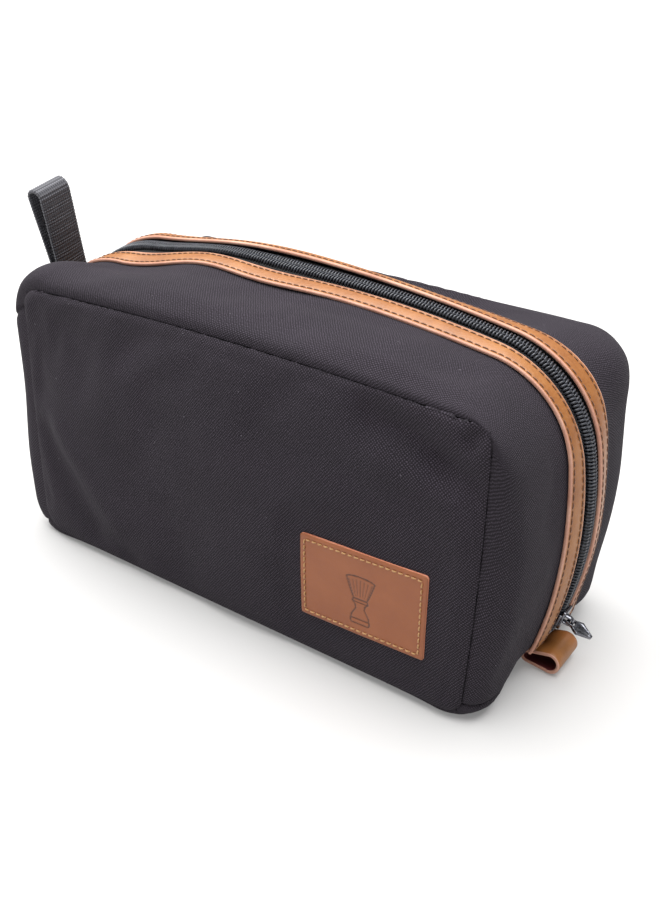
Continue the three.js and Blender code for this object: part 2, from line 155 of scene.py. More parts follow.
@dataclass
class Wall:
    """The bag's outer surface, by place t along the outline and depth y across the bag."""

    seam_y: float = 58.7
    dome: float = 3.0
    mid_z: float = 68.0
    squareness: Sequence[float] = (3.2, 3.2, 3.2, 3.2, 3.2, 3.2, 4.6, 4.6, 3.2)
    flat: Sequence[float] = (34, 34, 6, 6, 6, 6, 6, 6, 34)
    ridge: Sequence[float] = (0, 0, 0.26, 0.28, 0.4, 0.4, 0, 0, 0)
    ridge_flat: float = 5.0
    ridge_width: float = 28.0
    shoulder: float = 5.0
    shoulder_rise: float = 2.0
    panel_lift: float = 0.3
    crest_rise: float = 22.0
    floor_gap: float = 0.2
    ripples: Sequence[Ripple] = (
        Ripple((-44, -19, 150), (22, 13, 30), (0, 0, 2.0)),
        Ripple((-96, -16, 146), (38, 18, 30), (0, 0, -7.6)),
        Ripple((-20, -14, 150), (34, 14, 30), (0, 0, -2.6)),
        Ripple((10, -4, 150), (50, 9, 30), (0, 0, -2.2)),
        Ripple((-85, 10, 148), (45, 18, 30), (0, 0, -3.2)),
        Ripple((-40, 14, 150), (85, 9, 40), (0, 0, 2.6)),
        Ripple((0, 45, 145), (70, 20, 45), (0, 0, -13.0)),
        Ripple((56, 45, 145), (30, 20, 45), (0, 0, -3.4)),
        Ripple((-90, 45, 140), (45, 20, 45), (0, 0, -6.5)),
        Ripple((134, 34, 50), (40, 22, 30), (1.8, 0, 0)),
        Ripple((128, 34, 12), (22, 20, 15), (4.5, 0, 0)),
        Ripple((128, 42, 128), (18, 20, 20), (4.6, 0, 4.5)),
        Ripple((-117, -44, 128), (16, 22, 18), (-3.6, 0, 3.0)),
        Ripple((-136, -34, 76), (30, 45, 34), (6.0, 0, 0)),
        Ripple((120, -46, 12), (16, 15, 14), (3.0, 0, -4.5)),
        Ripple((-114, -46, 10), (16, 15, 14), (-2.5, 0, -3.5)),
    )
    seam: Outline = field(default_factory=lambda: Outline(
        Bow(121.5, 70, 1500), Bow(0, 133.8, 2000), Bow(-120.5, 80, 1500), 3.5, (8, 8, 9, 12)))
    crest: Outline = field(default_factory=lambda: Outline(
        Bow(140, 68, 160), Bow(-25, 151.6, 690), Bow(-141, 66, 200), 0, (28.6, 51.5, 50, 24)))

    @staticmethod
    def _keyed(values: Sequence[float], t: Array) -> Array:
        """Value at t, straight between the outline's joins."""
        return np.interp(np.mod(t, SEGMENTS), np.arange(SEGMENTS + 1), values)

    def point(self, t: Array, y: Array) -> Array:
        """Points of the wall, in millimetres."""
        t, y = np.broadcast_arrays(np.asarray(t, float), np.asarray(y, float))
        seam, crest = self.seam.point(t), self.crest.point(t)
        flat = self._keyed(self.flat, t)
        n = self._keyed(self.squareness, t)
        s = np.clip((np.abs(y) - flat) / (self.seam_y - flat), 0, 1)
        swell = (1 - s ** n) ** (1 / n)
        off = np.clip((np.abs(y) - self.ridge_flat) / (self.ridge_width - self.ridge_flat), 0, 1)
        share = self._keyed(self.ridge, t)
        soft = 1 - off * off * (3 - 2 * off) * 0.35 - off * 0.65
        g = (swell * (1 - share + share * soft))[..., None]
        xz = seam + (crest - seam) * g
        p = np.stack([xz[..., 0], y, xz[..., 1]], -1)
        free = np.clip(g * 2, 0, 1)
        moved = sum(np.exp(-(((p - np.array(r.at)) / r.spread) ** 2).sum(-1, keepdims=True))
                    * np.array(r.push) for r in self.ripples)
        p = p + moved * free
        return np.concatenate([p[..., :2], np.maximum(p[..., 2:], self.floor_gap)], -1)

    def normal(self, t: Array, y: Array) -> Array:
        """Outward unit normals."""
        near, ahead = 0.3, 0.01
        low = np.maximum(y - near, -self.seam_y)
        high = np.minimum(y + near, self.seam_y)
        across = self.point(t, high) - self.point(t, low)
        run = self.point(np.asarray(t) + ahead, y) - self.point(np.asarray(t) - ahead, y)
        n = np.cross(across, run)
        return n / np.linalg.norm(n, axis=-1, keepdims=True)

    def offset(self, t: Array, y: Array, d: Array) -> Array:
        """Points at height d over the wall."""
        return self.point(t, y) + self.normal(t, y) * np.asarray(d)[..., None]

    def even(self, start: float, stop: float, step: float, y: float = 0.0) -> Array:
        """Places from start to stop, evenly spaced by about step millimetres along the wall."""
        fine = np.linspace(start, stop, 1200)
        p = self.point(fine, np.full_like(fine, y))
        run = np.concatenate([[0], np.cumsum(np.linalg.norm(np.diff(p, axis=0), axis=1))])
        count = max(2, round(run[-1] / step) + 1)
        return np.interp(np.linspace(0, run[-1], count), run, fine)

    def depths(self, edge: float, count: int, flat: float, n: float = 3.2) -> Array:
        """Depths from the seam in to edge, close together where the wall turns."""
        a = np.linspace(0, math.pi / 2, 200)
        y = flat + (self.seam_y - flat) * np.cos(a) ** (2 / n)
        h = self.crest_rise * np.sin(a) ** (2 / n)
        if flat > edge:
            y, h = np.append(y, edge), np.append(h, h[-1])
        run = np.concatenate([[0], np.cumsum(np.hypot(np.diff(y), np.diff(h)))])
        stop = np.interp(-edge, -y, run)
        return np.interp(np.linspace(0, stop, count), run, y)

    def dome_share(self, x: Array, z: Array) -> Array:
        """How much of the panel's bulge is reached at x, z."""
        across = np.clip(1 - (x / self.seam.point(np.array(2.5))[0]) ** 2, 0, None)
        up = np.clip(1 - ((z - self.mid_z) / (self.mid_z - self.seam.base)) ** 2, 0, None)
        return across * up

    def panel_y(self, x: Array, z: Array) -> Array:
        """Depth of a panel's face, away from its seam, before any fold."""
        rim = self.seam_y + self.panel_lift + self.shoulder_rise
        return rim + self.dome * self.dome_share(x, z)


WALL = Wall()
# Places along the outline: the middles of its fillets, then where pieces start and stop.
LOW_RIGHT, HIGH_RIGHT, HIGH_LEFT, LOW_LEFT = 1.5, 3.5, 5.5, 7.5
ZIP_FROM, ZIP_MID, ZIP_TO = 1.82, 4.42, 6.0
TRIM_TO = 5.9
BASE_FROM = -0.51
LEFT_TO = 7.49


# ---- Mesh helpers ------------------------------------------------------------------------------


def make_object(name: str, points: Array, faces: Iterable, uvs: Sequence | None = None,
                paint: Sequence[int] | None = None) -> bpy.types.Object:
    """Makes a smooth-shaded mesh object.

    Args:
        name: the piece's name.
        points: corner places in millimetres.
        faces: lists of corner numbers.
        uvs: one place for each face corner, in metres on the flat piece.
        paint: a material number for each face.

    Returns:
        The new object, linked to the scene.
    """
    mesh = bpy.data.meshes.new(name)
    mesh.from_pydata((np.asarray(points, float).reshape(-1, 3) * MM).tolist(), [], list(faces))
    if uvs is not None:
        layer = mesh.uv_layers.new(name="UVMap")
        layer.data.foreach_set("uv", np.asarray(uvs, np.float32).ravel())
    if paint is not None:
        mesh.polygons.foreach_set("material_index", np.asarray(paint, np.int32))
    mesh.polygons.foreach_set("use_smooth", np.ones(len(mesh.polygons), bool))
    mesh.validate()
    obj = bpy.data.objects.new(name, mesh)
    bpy.context.scene.collection.objects.link(obj)
    return obj


def grid_faces(rows: int, columns: int, wrap: bool = False) -> Array:
    """Corner numbers of a grid's quads; wrap joins the last column to the first."""
    i = np.arange(rows - 1)[:, None]
    j = np.arange(columns if wrap else columns - 1)[None, :]
    k = (j + 1) % columns
    quads = [i * columns + j, (i + 1) * columns + j, (i + 1) * columns + k, i * columns + k]
    return np.stack(np.broadcast_arrays(*quads), -1).reshape(-1, 4)


def grid_uv(points: Array) -> Array:
    """Flat places of a grid's points: length along its middle column, width along each row."""
    middle = points[:, points.shape[1] // 2]
    run = np.concatenate([[0], np.cumsum(np.linalg.norm(np.diff(middle, axis=0), axis=1))])
    steps = np.linalg.norm(np.diff(points, axis=1), axis=2)
    across = np.concatenate([np.zeros((len(points), 1)), np.cumsum(steps, axis=1)], axis=1)
    return np.stack([np.broadcast_to(run[:, None], across.shape), across], -1) * MM


def open_sheet(name: str, points: Array, outward: Array, uv: Array | None = None) -> bpy.types.Object:
    """A one-sided sheet from a grid of points, facing the way outward points at its middle."""
    rows, columns = points.shape[:2]
    faces = grid_faces(rows, columns)
    i, j = rows // 2, columns // 2
    n = np.cross(points[i + 1, j] - points[i, j], points[i, j + 1] - points[i, j])
    if np.dot(n, outward) < 0:
        faces = faces[:, ::-1]
    flat = (grid_uv(points) if uv is None else uv).reshape(-1, 2)
    return make_object(name, points, faces.tolist(), flat[faces.ravel()])


def loft(name: str, rings: Array, paint: Sequence[int] | None = None) -> bpy.types.Object:
    """A closed solid through a row of closed rings, with flat ends.

    Args:
        name: the piece's name.
        rings: points as (ring, point, 3), in millimetres.
        paint: a material number for each point's strip round the ring.

    Returns:
        The object, its faces pointing out.
    """
    count, size = rings.shape[:2]
    faces = grid_faces(count, size, wrap=True)
    middle = rings[:, :1]
    run = np.concatenate([[0], np.cumsum(np.linalg.norm(np.diff(middle[:, 0], axis=0), axis=1))])
    steps = np.linalg.norm(np.roll(rings[0], -1, axis=0) - rings[0], axis=1)
    across = np.concatenate([[0], np.cumsum(steps)])
    i, j = np.divmod(np.arange(len(faces)), size)
    uv = np.stack([np.stack([run[i + a], across[j + b]], -1)
                   for a, b in ((0, 0), (1, 0), (1, 1), (0, 1))], 1) * MM
    corners = rings.reshape(-1, 3)
    a, b, c, d = (corners[faces[:, k]] for k in range(4))
    centre = corners.mean(axis=0)
    volume = np.einsum("ij,ij->", a - centre, np.cross(b - centre, c - centre))
    volume += np.einsum("ij,ij->", a - centre, np.cross(c - centre, d - centre))
    ends = [list(range(size))[::-1], list(range((count - 1) * size, count * size))]
    caps = [[(across[k % size] * MM, 0.0) for k in e] for e in ends]
    if volume < 0:
        faces, uv = faces[:, ::-1], uv[:, ::-1]
        ends = [e[::-1] for e in ends]
        caps = [c[::-1] for c in caps]
    flat = list(uv.reshape(-1, 2)) + caps[0] + caps[1]
    marks = None if paint is None else [int(paint[k]) for k in j] + [int(max(paint))] * 2
    return make_object(name, corners, faces.tolist() + ends, flat, marks)


def only(obj: bpy.types.Object) -> None:
    """Selects one object, in object mode, and makes it active."""
    if bpy.context.mode != "OBJECT":
        bpy.ops.object.mode_set(mode="OBJECT")
    bpy.ops.object.select_all(action="DESELECT")
    obj.select_set(True)
    bpy.context.view_layer.objects.active = obj


def apply(obj: bpy.types.Object, kind: str, **settings) -> None:
    """Adds a modifier with its settings and applies it."""
    only(obj)
    modifier = obj.modifiers.new(kind.title(), kind)
    for key, value in settings.items():
        setattr(modifier, key, value)
    bpy.ops.object.modifier_apply(modifier=modifier.name)


def thicken(obj: bpy.types.Object, thickness: float) -> None:
    """Gives a sheet its thickness, inwards from its outer face."""
    apply(obj, "SOLIDIFY", thickness=thickness * MM, offset=-1.0, use_even_offset=False)
    smooth_edges(obj, 60)


def smooth_edges(obj: bpy.types.Object, degrees: float = 40) -> None:
    """Shades a piece smooth except at edges sharper than the angle."""
    only(obj)
    bpy.ops.object.shade_smooth_by_angle(angle=math.radians(degrees))


def waves(points: Array, length: float, seed: int, count: int = 7) -> Array:
    """Soft random waves of about one wavelength, between -1 and 1, the same on every run."""
    rng = np.random.default_rng(seed)
    directions = rng.normal(size=(count, 3))
    directions /= np.linalg.norm(directions, axis=1, keepdims=True)
    scale = 2 * math.pi / (length * rng.uniform(0.7, 1.5, count))
    phase = rng.uniform(0, 2 * math.pi, count)
    total = np.sin(points @ (directions * scale[:, None]).T + phase).sum(axis=-1)
    return total / math.sqrt(count) / 1.6


# ---- Finishes ----------------------------------------------------------------------------------


def linear(code: str) -> tuple:
    """Linear colour of an sRGB hex code."""
    parts = [int(code[i:i + 2], 16) / 255 for i in (1, 3, 5)]
    return tuple(p / 12.92 if p <= 0.04045 else ((p + 0.055) / 1.055) ** 2.4 for p in parts) + (1.0,)


class Shade:
    """A material under construction: its tree, its shader and its coordinates."""

    def __init__(self, name: str, roughness: float, metallic: float = 0.0, **constants: float):
        """Starts a material with the shader's constant values."""
        self.material = bpy.data.materials.new(name)
        self.material.use_nodes = True
        self.tree = self.material.node_tree
        self.shader = self.tree.nodes["Principled BSDF"]
        self.set(Roughness=roughness, Metallic=metallic)
        for key, value in constants.items():
            self.shader.inputs[key.replace("_", " ")].default_value = value
        self.place = self.node("ShaderNodeTexCoord")

    def set(self, **values) -> None:
        """Sets or links inputs of the shader; underscores stand for spaces."""
        for key, value in values.items():
            self._feed(self.shader.inputs[key.replace("_", " ")], value)

    def _feed(self, socket, value) -> None:
        """Links a socket to another, or sets its value."""
        if isinstance(value, bpy.types.NodeSocket):
            self.tree.links.new(value, socket)
        elif isinstance(value, str):
            socket.default_value = linear(value)
        else:
            socket.default_value = value

    def node(self, kind: str, inputs: dict | None = None, **settings):
        """Adds a node with its settings and links.

        Args:
            kind: the node's type name.
            inputs: input name or number to a value or another node's output.
            settings: the node's own properties.

        Returns:
            The node.
        """
        made = self.tree.nodes.new(kind)
        for key, value in settings.items():
            setattr(made, key, value)
        for key, value in (inputs or {}).items():
            self._feed(made.inputs[key], value)
        return made

    def mapped(self, source: str = "UV", scale: Sequence[float] = (1, 1, 1), turn: float = 0.0):
        """Coordinates scaled per metre and turned about Z, in radians."""
        return self.node("ShaderNodeMapping", {
            "Vector": self.place.outputs[source], "Scale": scale, "Rotation": (0, 0, turn)}).outputs[0]

    def ramp(self, factor, stops: Sequence[tuple]):
        """Colours along a factor, as (place, hex code)."""
        made = self.node("ShaderNodeValToRGB", {"Fac": factor})
        elements = made.color_ramp.elements
        while len(elements) < len(stops):
            elements.new(0.5)
        for element, (place, code) in zip(elements, stops):
            element.position = place
            element.color = linear(code)
        return made.outputs["Color"]

    def maths(self, kind: str, a, b):
        """One arithmetic step."""
        return self.node("ShaderNodeMath", {0: a, 1: b}, operation=kind).outputs[0]

    def mix(self, factor, a, b, blend: str = "MIX"):
        """Mixes two colours."""
        made = self.node("ShaderNodeMix", {0: factor, 6: a, 7: b}, data_type="RGBA", blend_type=blend)
        return made.outputs[2]

    def noise(self, vector, scale: float, detail: float = 3.0, roughness: float = 0.55):
        """Noise value at a scale in cycles per metre."""
        return self.node("ShaderNodeTexNoise", {
            "Vector": vector, "Scale": scale, "Detail": detail, "Roughness": roughness}).outputs["Fac"]

    def bump(self, height, distance: float, strength: float = 1.0, under=None):
        """Bump from a height; distance is in metres."""
        inputs = {"Height": height, "Distance": distance, "Strength": strength}
        if under is not None:
            inputs["Normal"] = under
        return self.node("ShaderNodeBump", inputs).outputs[0]


@dataclass(frozen=True)
class Canvas:
    """Padded polyester canvas, twill woven: dull charcoal with paler yarn tops in slanting rows."""

    name: str = "charcoal_canvas"
    yarn_mm: float = 1.0
    dark: str = "#1d191e"
    body: str = "#2a252c"
    light: str = "#4e4751"

    def make(self) -> bpy.types.Material:
        """Builds the material; the yarn is drawn coarser than its 0.6 mm so that it shows."""
        s = Shade(self.name, 0.92, Sheen_Weight=0.06, Sheen_Roughness=0.5, Specular_IOR_Level=0.25)
        s.shader.inputs["Sheen Tint"].default_value = linear("#9a959c")
        per_metre = 1000 / self.yarn_mm
        warp = s.mapped("UV", (per_metre, per_metre, 1), math.radians(38))
        sway = s.noise(s.mapped("UV"), 420, 2)
        bent = s.node("ShaderNodeVectorMath", {0: warp, 1: s.node(
            "ShaderNodeCombineXYZ", {0: sway, 1: sway}).outputs[0]}, operation="ADD").outputs[0]
        rows = s.node("ShaderNodeTexWave", {"Vector": bent, "Scale": 0.32, "Distortion": 1.2,
                                            "Detail": 1.0}, bands_direction="X").outputs["Fac"]
        cross = s.node("ShaderNodeTexWave", {"Vector": bent, "Scale": 0.36, "Distortion": 1.6,
                                             "Detail": 1.0}, bands_direction="Y").outputs["Fac"]
        weave = s.maths("MULTIPLY", rows, cross)
        grain = s.noise(s.mapped("UV"), 1300, 3, 0.7)
        tops = s.maths("MULTIPLY", s.maths("MULTIPLY_ADD", weave, 0.9), s.maths("MULTIPLY_ADD", grain, 1.2))
        tops = s.maths("SUBTRACT", tops, 0.36)
        cloth = s.ramp(tops, [(0.12, self.dark), (0.42, self.body), (0.95, self.light)])
        patchy = s.noise(s.mapped("Object"), 34, 3)
        tint = s.ramp(patchy, [(0.3, "#8d8a90"), (0.7, "#c9c6cc")])
        cloth = s.mix(0.35, cloth, s.mix(1.0, cloth, tint, "MULTIPLY"))
        lint = s.node("ShaderNodeTexVoronoi", {"Vector": s.mapped("UV"), "Scale": 95.0,
                                               "Randomness": 1.0}).outputs["Distance"]
        fleck = s.maths("LESS_THAN", lint, 0.032)
        s.set(Base_Color=s.mix(s.maths("MULTIPLY", fleck, 0.45), cloth, "#77727a"))
        s.set(Normal=s.bump(s.maths("ADD", tops, s.maths("MULTIPLY", fleck, 0.5)), 0.0004, 0.6))
        return s.material


@dataclass(frozen=True)
class PlainCloth:
    """Plain woven cloth for linings and bindings: fine square weave with a slight sheen."""

    name: str
    dark: str
    light: str
    thread_mm: float = 0.5
    roughness: float = 0.7

    def make(self) -> bpy.types.Material:
        """Builds the material."""
        s = Shade(self.name, self.roughness, Sheen_Weight=0.2, Sheen_Roughness=0.4)
        per_metre = 1000 / self.thread_mm / 3
        flat = s.mapped("UV", (per_metre, per_metre, 1))
        warp = s.node("ShaderNodeTexWave", {"Vector": flat, "Scale": 0.5}, bands_direction="X")
        weft = s.node("ShaderNodeTexWave", {"Vector": flat, "Scale": 0.5}, bands_direction="Y")
        weave = s.maths("MULTIPLY", warp.outputs["Fac"], weft.outputs["Fac"])
        mottle = s.noise(s.mapped("UV"), 240, 3)
        level = s.maths("MULTIPLY_ADD", mottle, 0.5)
        s.set(Base_Color=s.ramp(s.maths("MULTIPLY", weave, level), [(0.05, self.dark), (0.8, self.light)]))
        s.set(Normal=s.bump(weave, 0.00015, 0.6))
        return s.material


@dataclass(frozen=True)
class Leather:
    """Split cowhide, dyed and pressed: fine pebble grain, soft gloss, uneven dye."""

    name: str
    deep: str
    body: str
    pale: str
    roughness: float = 0.46
    grain_mm: float = 0.9
    pressed: str = ""

    def make(self) -> bpy.types.Material:
        """Builds the material; leather with a pressed mark is darker where it is pressed."""
        s = Shade(self.name, self.roughness, Coat_Weight=0.08, Coat_Roughness=0.35)
        here = s.mapped("Object")
        dye = s.noise(here, 60, 5, 0.6)
        fine = s.noise(here, 900, 3, 0.6)
        pores = s.node("ShaderNodeTexVoronoi", {"Vector": here, "Scale": 1000 / self.grain_mm},
                       feature="F1").outputs["Distance"]
        shade = s.maths("ADD", s.maths("MULTIPLY", dye, 0.75), s.maths("MULTIPLY", fine, 0.25))
        skin = s.ramp(shade, [(0.3, self.deep), (0.52, self.body), (0.75, self.pale)])
        if self.pressed:
            mark = s.node("ShaderNodeAttribute", attribute_name="pressed").outputs["Fac"]
            skin = s.mix(mark, skin, self.pressed)
        s.set(Base_Color=skin)
        rough = s.node("ShaderNodeMapRange", {"Value": fine, "From Min": 0.3, "From Max": 0.7,
                                              "To Min": self.roughness - 0.08,
                                              "To Max": self.roughness + 0.12}).outputs[0]
        s.set(Roughness=rough)
        grain = s.bump(pores, 0.00012, 0.35)
        s.set(Normal=s.bump(fine, 0.0002, 0.25, grain))
        return s.material


@dataclass(frozen=True)
class Nylon:
    """Moulded or drawn nylon: even colour with a soft highlight."""

    name: str
    colour: str
    roughness: float

    def make(self) -> bpy.types.Material:
        """Builds the material with a slight unevenness of gloss."""
        s = Shade(self.name, self.roughness)
        fine = s.noise(s.mapped("Object"), 700, 2)
        s.set(Base_Color=s.ramp(fine, [(0.35, self.colour), (0.75, "#464951")]))
        gloss = {"Value": fine, "To Min": self.roughness, "To Max": self.roughness + 0.25}
        s.set(Roughness=s.node("ShaderNodeMapRange", gloss).outputs[0])
        s.set(Normal=s.bump(fine, 0.0001, 0.3))
        return s.material


@dataclass(frozen=True)
class Thread:
    """Twisted sewing thread: slanting plies along each stitch."""

    name: str
    dark: str
    light: str

    def make(self) -> bpy.types.Material:
        """Builds the material."""
        s = Shade(self.name, 0.6, Sheen_Weight=0.2)
        ply = s.node("ShaderNodeTexWave", {"Vector": s.mapped("UV", (1, 1, 1), 0.7), "Scale": 700.0,
                                           "Distortion": 1.0}).outputs["Fac"]
        s.set(Base_Color=s.ramp(ply, [(0.2, self.dark), (0.8, self.light)]))
        s.set(Normal=s.bump(ply, 0.0001, 0.5))
        return s.material


@dataclass(frozen=True)
class Gunmetal:
    """Die-cast zinc with dark nickel plating: bright, faintly brushed, its tone patchy."""

    name: str = "gunmetal_plating"
    colour: str = "#8f9096"

    def make(self) -> bpy.types.Material:
        """Builds the material."""
        s = Shade(self.name, 0.24, 1.0)
        here = s.mapped("Object")
        cloud = s.noise(here, 260, 4)
        s.set(Base_Color=s.ramp(cloud, [(0.3, "#55565c"), (0.7, self.colour)]))
        scratch = s.noise(s.mapped("Object", (400, 4000, 400)), 1.0, 2)
        s.set(Roughness=s.node("ShaderNodeMapRange", {
            "Value": scratch, "To Min": 0.14, "To Max": 0.36}).outputs[0])
        s.set(Normal=s.bump(scratch, 0.00004, 0.4))
        return s.material


@dataclass(frozen=True)
class Finishes:
    """Every material of the bag, made once."""

    canvas: bpy.types.Material
    lining: bpy.types.Material
    binding: bpy.types.Material
    leather: bpy.types.Material
    cut_edge: bpy.types.Material
    patch: bpy.types.Material
    patch_edge: bpy.types.Material
    tape: bpy.types.Material
    coil: bpy.types.Material
    webbing: bpy.types.Material
    brown_thread: bpy.types.Material
    khaki_thread: bpy.types.Material
    tab_inside: bpy.types.Material
    enamel: bpy.types.Material
    gunmetal: bpy.types.Material

    @classmethod
    def make(cls) -> "Finishes":
        """Builds all the materials."""
        return cls(
            canvas=Canvas().make(),
            lining=PlainCloth("grey_lining", "#1d1e21", "#3a3b40").make(),
            binding=PlainCloth("bias_tape", "#141416", "#2a2a2d", 0.9, 0.8).make(),
            leather=Leather("tan_split_leather", "#814c22", "#98602e", "#a87340").make(),
            cut_edge=Leather("raw_leather_edge", "#b07a66", "#c8957f", "#dab09c", 0.8).make(),
            patch=Leather("brown_patch_leather", "#874926", "#8f5029", "#98572f", 0.42,
                          pressed="#4f2a18").make(),
            patch_edge=Leather("raw_patch_edge", "#b86a4c", "#d08466", "#e5a48a", 0.75).make(),
            tape=PlainCloth("zip_tape_weave", "#0c0c0e", "#232327", 0.8, 0.8).make(),
            coil=Nylon("nylon_coil", "#282a30", 0.2).make(),
            webbing=PlainCloth("ribbed_webbing", "#3e3e43", "#7e7e86", 0.7, 0.7).make(),
            brown_thread=Thread("brown_thread", "#4a2812", "#774622").make(),
            khaki_thread=Thread("khaki_thread", "#94683c", "#cfa06a").make(),
            tab_inside=Leather("dyed_flesh_side", "#4a1416", "#5e1d1e", "#75292a", 0.8).make(),
            enamel=Nylon("black_enamel", "#0b0b0d", 0.12).make(),
            gunmetal=Gunmetal().make(),
        )


def dress(obj: bpy.types.Object, *materials: bpy.types.Material) -> None:
    """Gives an object its materials, in slot order."""
    for material in materials:
        obj.data.materials.append(material)


# ---- How pieces cross the opening mouth ---------------------------------------------------------


@dataclass(frozen=True)
class Crossing:
    """Where a piece crosses from the fixed half to the opening half: two points in millimetres."""

    start: tuple
    end: tuple

    def join(self, obj: bpy.types.Object) -> None:
        """Bakes the piece's placement into its mesh."""
        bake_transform(obj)


def crossing(origin: tuple, across: float, other_axis: int, other: float) -> Crossing:
    """Crossing whose end lies where a blend from its origin would be full: `across` mm towards the front or
    `other` mm along another axis.
    """
    a, b = 1 / across, 1 / other
    size = a * a + b * b
    end = list(origin)
    end[1] -= a / size
    end[other_axis] += b / size
    return Crossing(tuple(origin), tuple(end))


LOWER_RIGHT = crossing((0, -8, 16), 50, 2, 60)
UPPER_LEFT = crossing((-136, -8, 0), 50, 0, 70)
ACROSS = Crossing((0, -8, 0), (0, -58, 0))


def settle(obj: bpy.types.Object, slot: str, body: str | Crossing, *nodes: str) -> bpy.types.Object:
    """Hides the CAD nodes that a finished piece stands for and ties it to what it moves with; a piece that
    crosses the mouth only has its placement baked.

    Args:
        obj: the finished piece.
        slot: not used.
        body: a body's name, or the crossing that it lies across.
        nodes: the CAD nodes that it stands for.

    Returns:
        The piece.
    """
    if nodes:
        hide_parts(*nodes)
    if isinstance(body, Crossing):
        body.join(obj)
    else:
        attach(obj, body)
    LOG.info("%s: %d faces", obj.name, len(obj.data.polygons))
    return obj


# ---- Soft shell ----------------------------------------------------------------------------------


def smoothed(obj: bpy.types.Object, moves: Array, rounds: int) -> Array:
    """Moves of a mesh's points, each drawn toward its neighbours' mean, so no point stands out."""
    pull = 0.65
    ends = np.array([edge.vertices[:] for edge in obj.data.edges])
    count = np.bincount(ends.ravel(), minlength=len(moves))[:, None]
    for _ in range(rounds):
        total = np.zeros_like(moves)
        np.add.at(total, ends[:, 0], moves[ends[:, 1]])
        np.add.at(total, ends[:, 1], moves[ends[:, 0]])
        moves = moves * (1 - pull) + total / count * pull
    return moves


def relax(obj: bpy.types.Object, held: Array, free: Array, pressure: float, slack: float,
          cap: float) -> None:
    """Lets a sheet of cloth find its shape, with its seams held.

    Args:
        obj: the sheet, one layer thick.
        held: how firmly each point is held, from 0 to 1.
        free: how much of its movement each point keeps, from 0 where something is sewn to it, to 1.
        pressure: outward push of the bag's padding.
        slack: spare cloth as a share of its length.
        cap: the most that a point may move, in millimetres.
    """
    rest = np.array([v.co for v in obj.data.vertices])
    group = obj.vertex_groups.new(name="held")
    for index, weight in enumerate(held.ravel()):
        if weight > 0:
            group.add([index], float(weight), "REPLACE")
    only(obj)
    cloth = obj.modifiers.new("Cloth", "CLOTH")
    rules = cloth.settings
    rules.quality = 6
    rules.mass = 0.3
    rules.tension_stiffness = rules.compression_stiffness = 18
    rules.shear_stiffness = 8
    rules.bending_stiffness = 2.5
    rules.air_damping = 4
    rules.vertex_group_mass = "held"
    rules.shrink_min = -slack
    rules.use_pressure = True
    rules.uniform_pressure_force = pressure
    rules.effector_weights.gravity = 0
    cloth.collision_settings.use_collision = False
    cloth.point_cache.frame_start, cloth.point_cache.frame_end = 1, SETTLE_FRAMES
    for moment in range(1, SETTLE_FRAMES + 1):
        bpy.context.scene.frame_set(moment)
    bpy.ops.object.modifier_apply(modifier=cloth.name)
    bpy.context.scene.frame_set(1)
    moved = np.array([v.co for v in obj.data.vertices]) - rest
    obj.data.vertices.foreach_set("co", rest.astype(np.float32).ravel())
    obj.data.update()
    normals = np.array([v.normal for v in obj.data.vertices])
    deepest = 0.5 * MM
    sunk = np.minimum((moved * normals).sum(axis=1, keepdims=True) + deepest, 0)
    moved = smoothed(obj, moved - normals * sunk, rounds=4) * free.reshape(-1, 1)
    length = np.linalg.norm(moved, axis=1, keepdims=True)
    moved *= np.minimum(1, cap * MM / np.maximum(length, 1e-9))
    settled = rest + moved
    settled[:, 2] = np.maximum(settled[:, 2], WALL.floor_gap * MM)
    obj.data.vertices.foreach_set("co", settled.astype(np.float32).ravel())
    obj.data.update()
    obj.vertex_groups.clear()


@dataclass(frozen=True)
class Fold:
    """A soft crease (negative height) or swelling along a line on a panel, in X and Z."""

    start: tuple
    stop: tuple
    wide: float
    height: float

    def at(self, xz: Array) -> Array:
        """Height of the fold at each place."""
        a, b = np.array(self.start), np.array(self.stop)
        along = np.clip(((xz - a) @ (b - a)) / ((b - a) @ (b - a)), 0, 1)
        gap = np.linalg.norm(xz - a - along[..., None] * (b - a), axis=-1)
        return self.height * np.exp(-(gap / self.wide) ** 2)


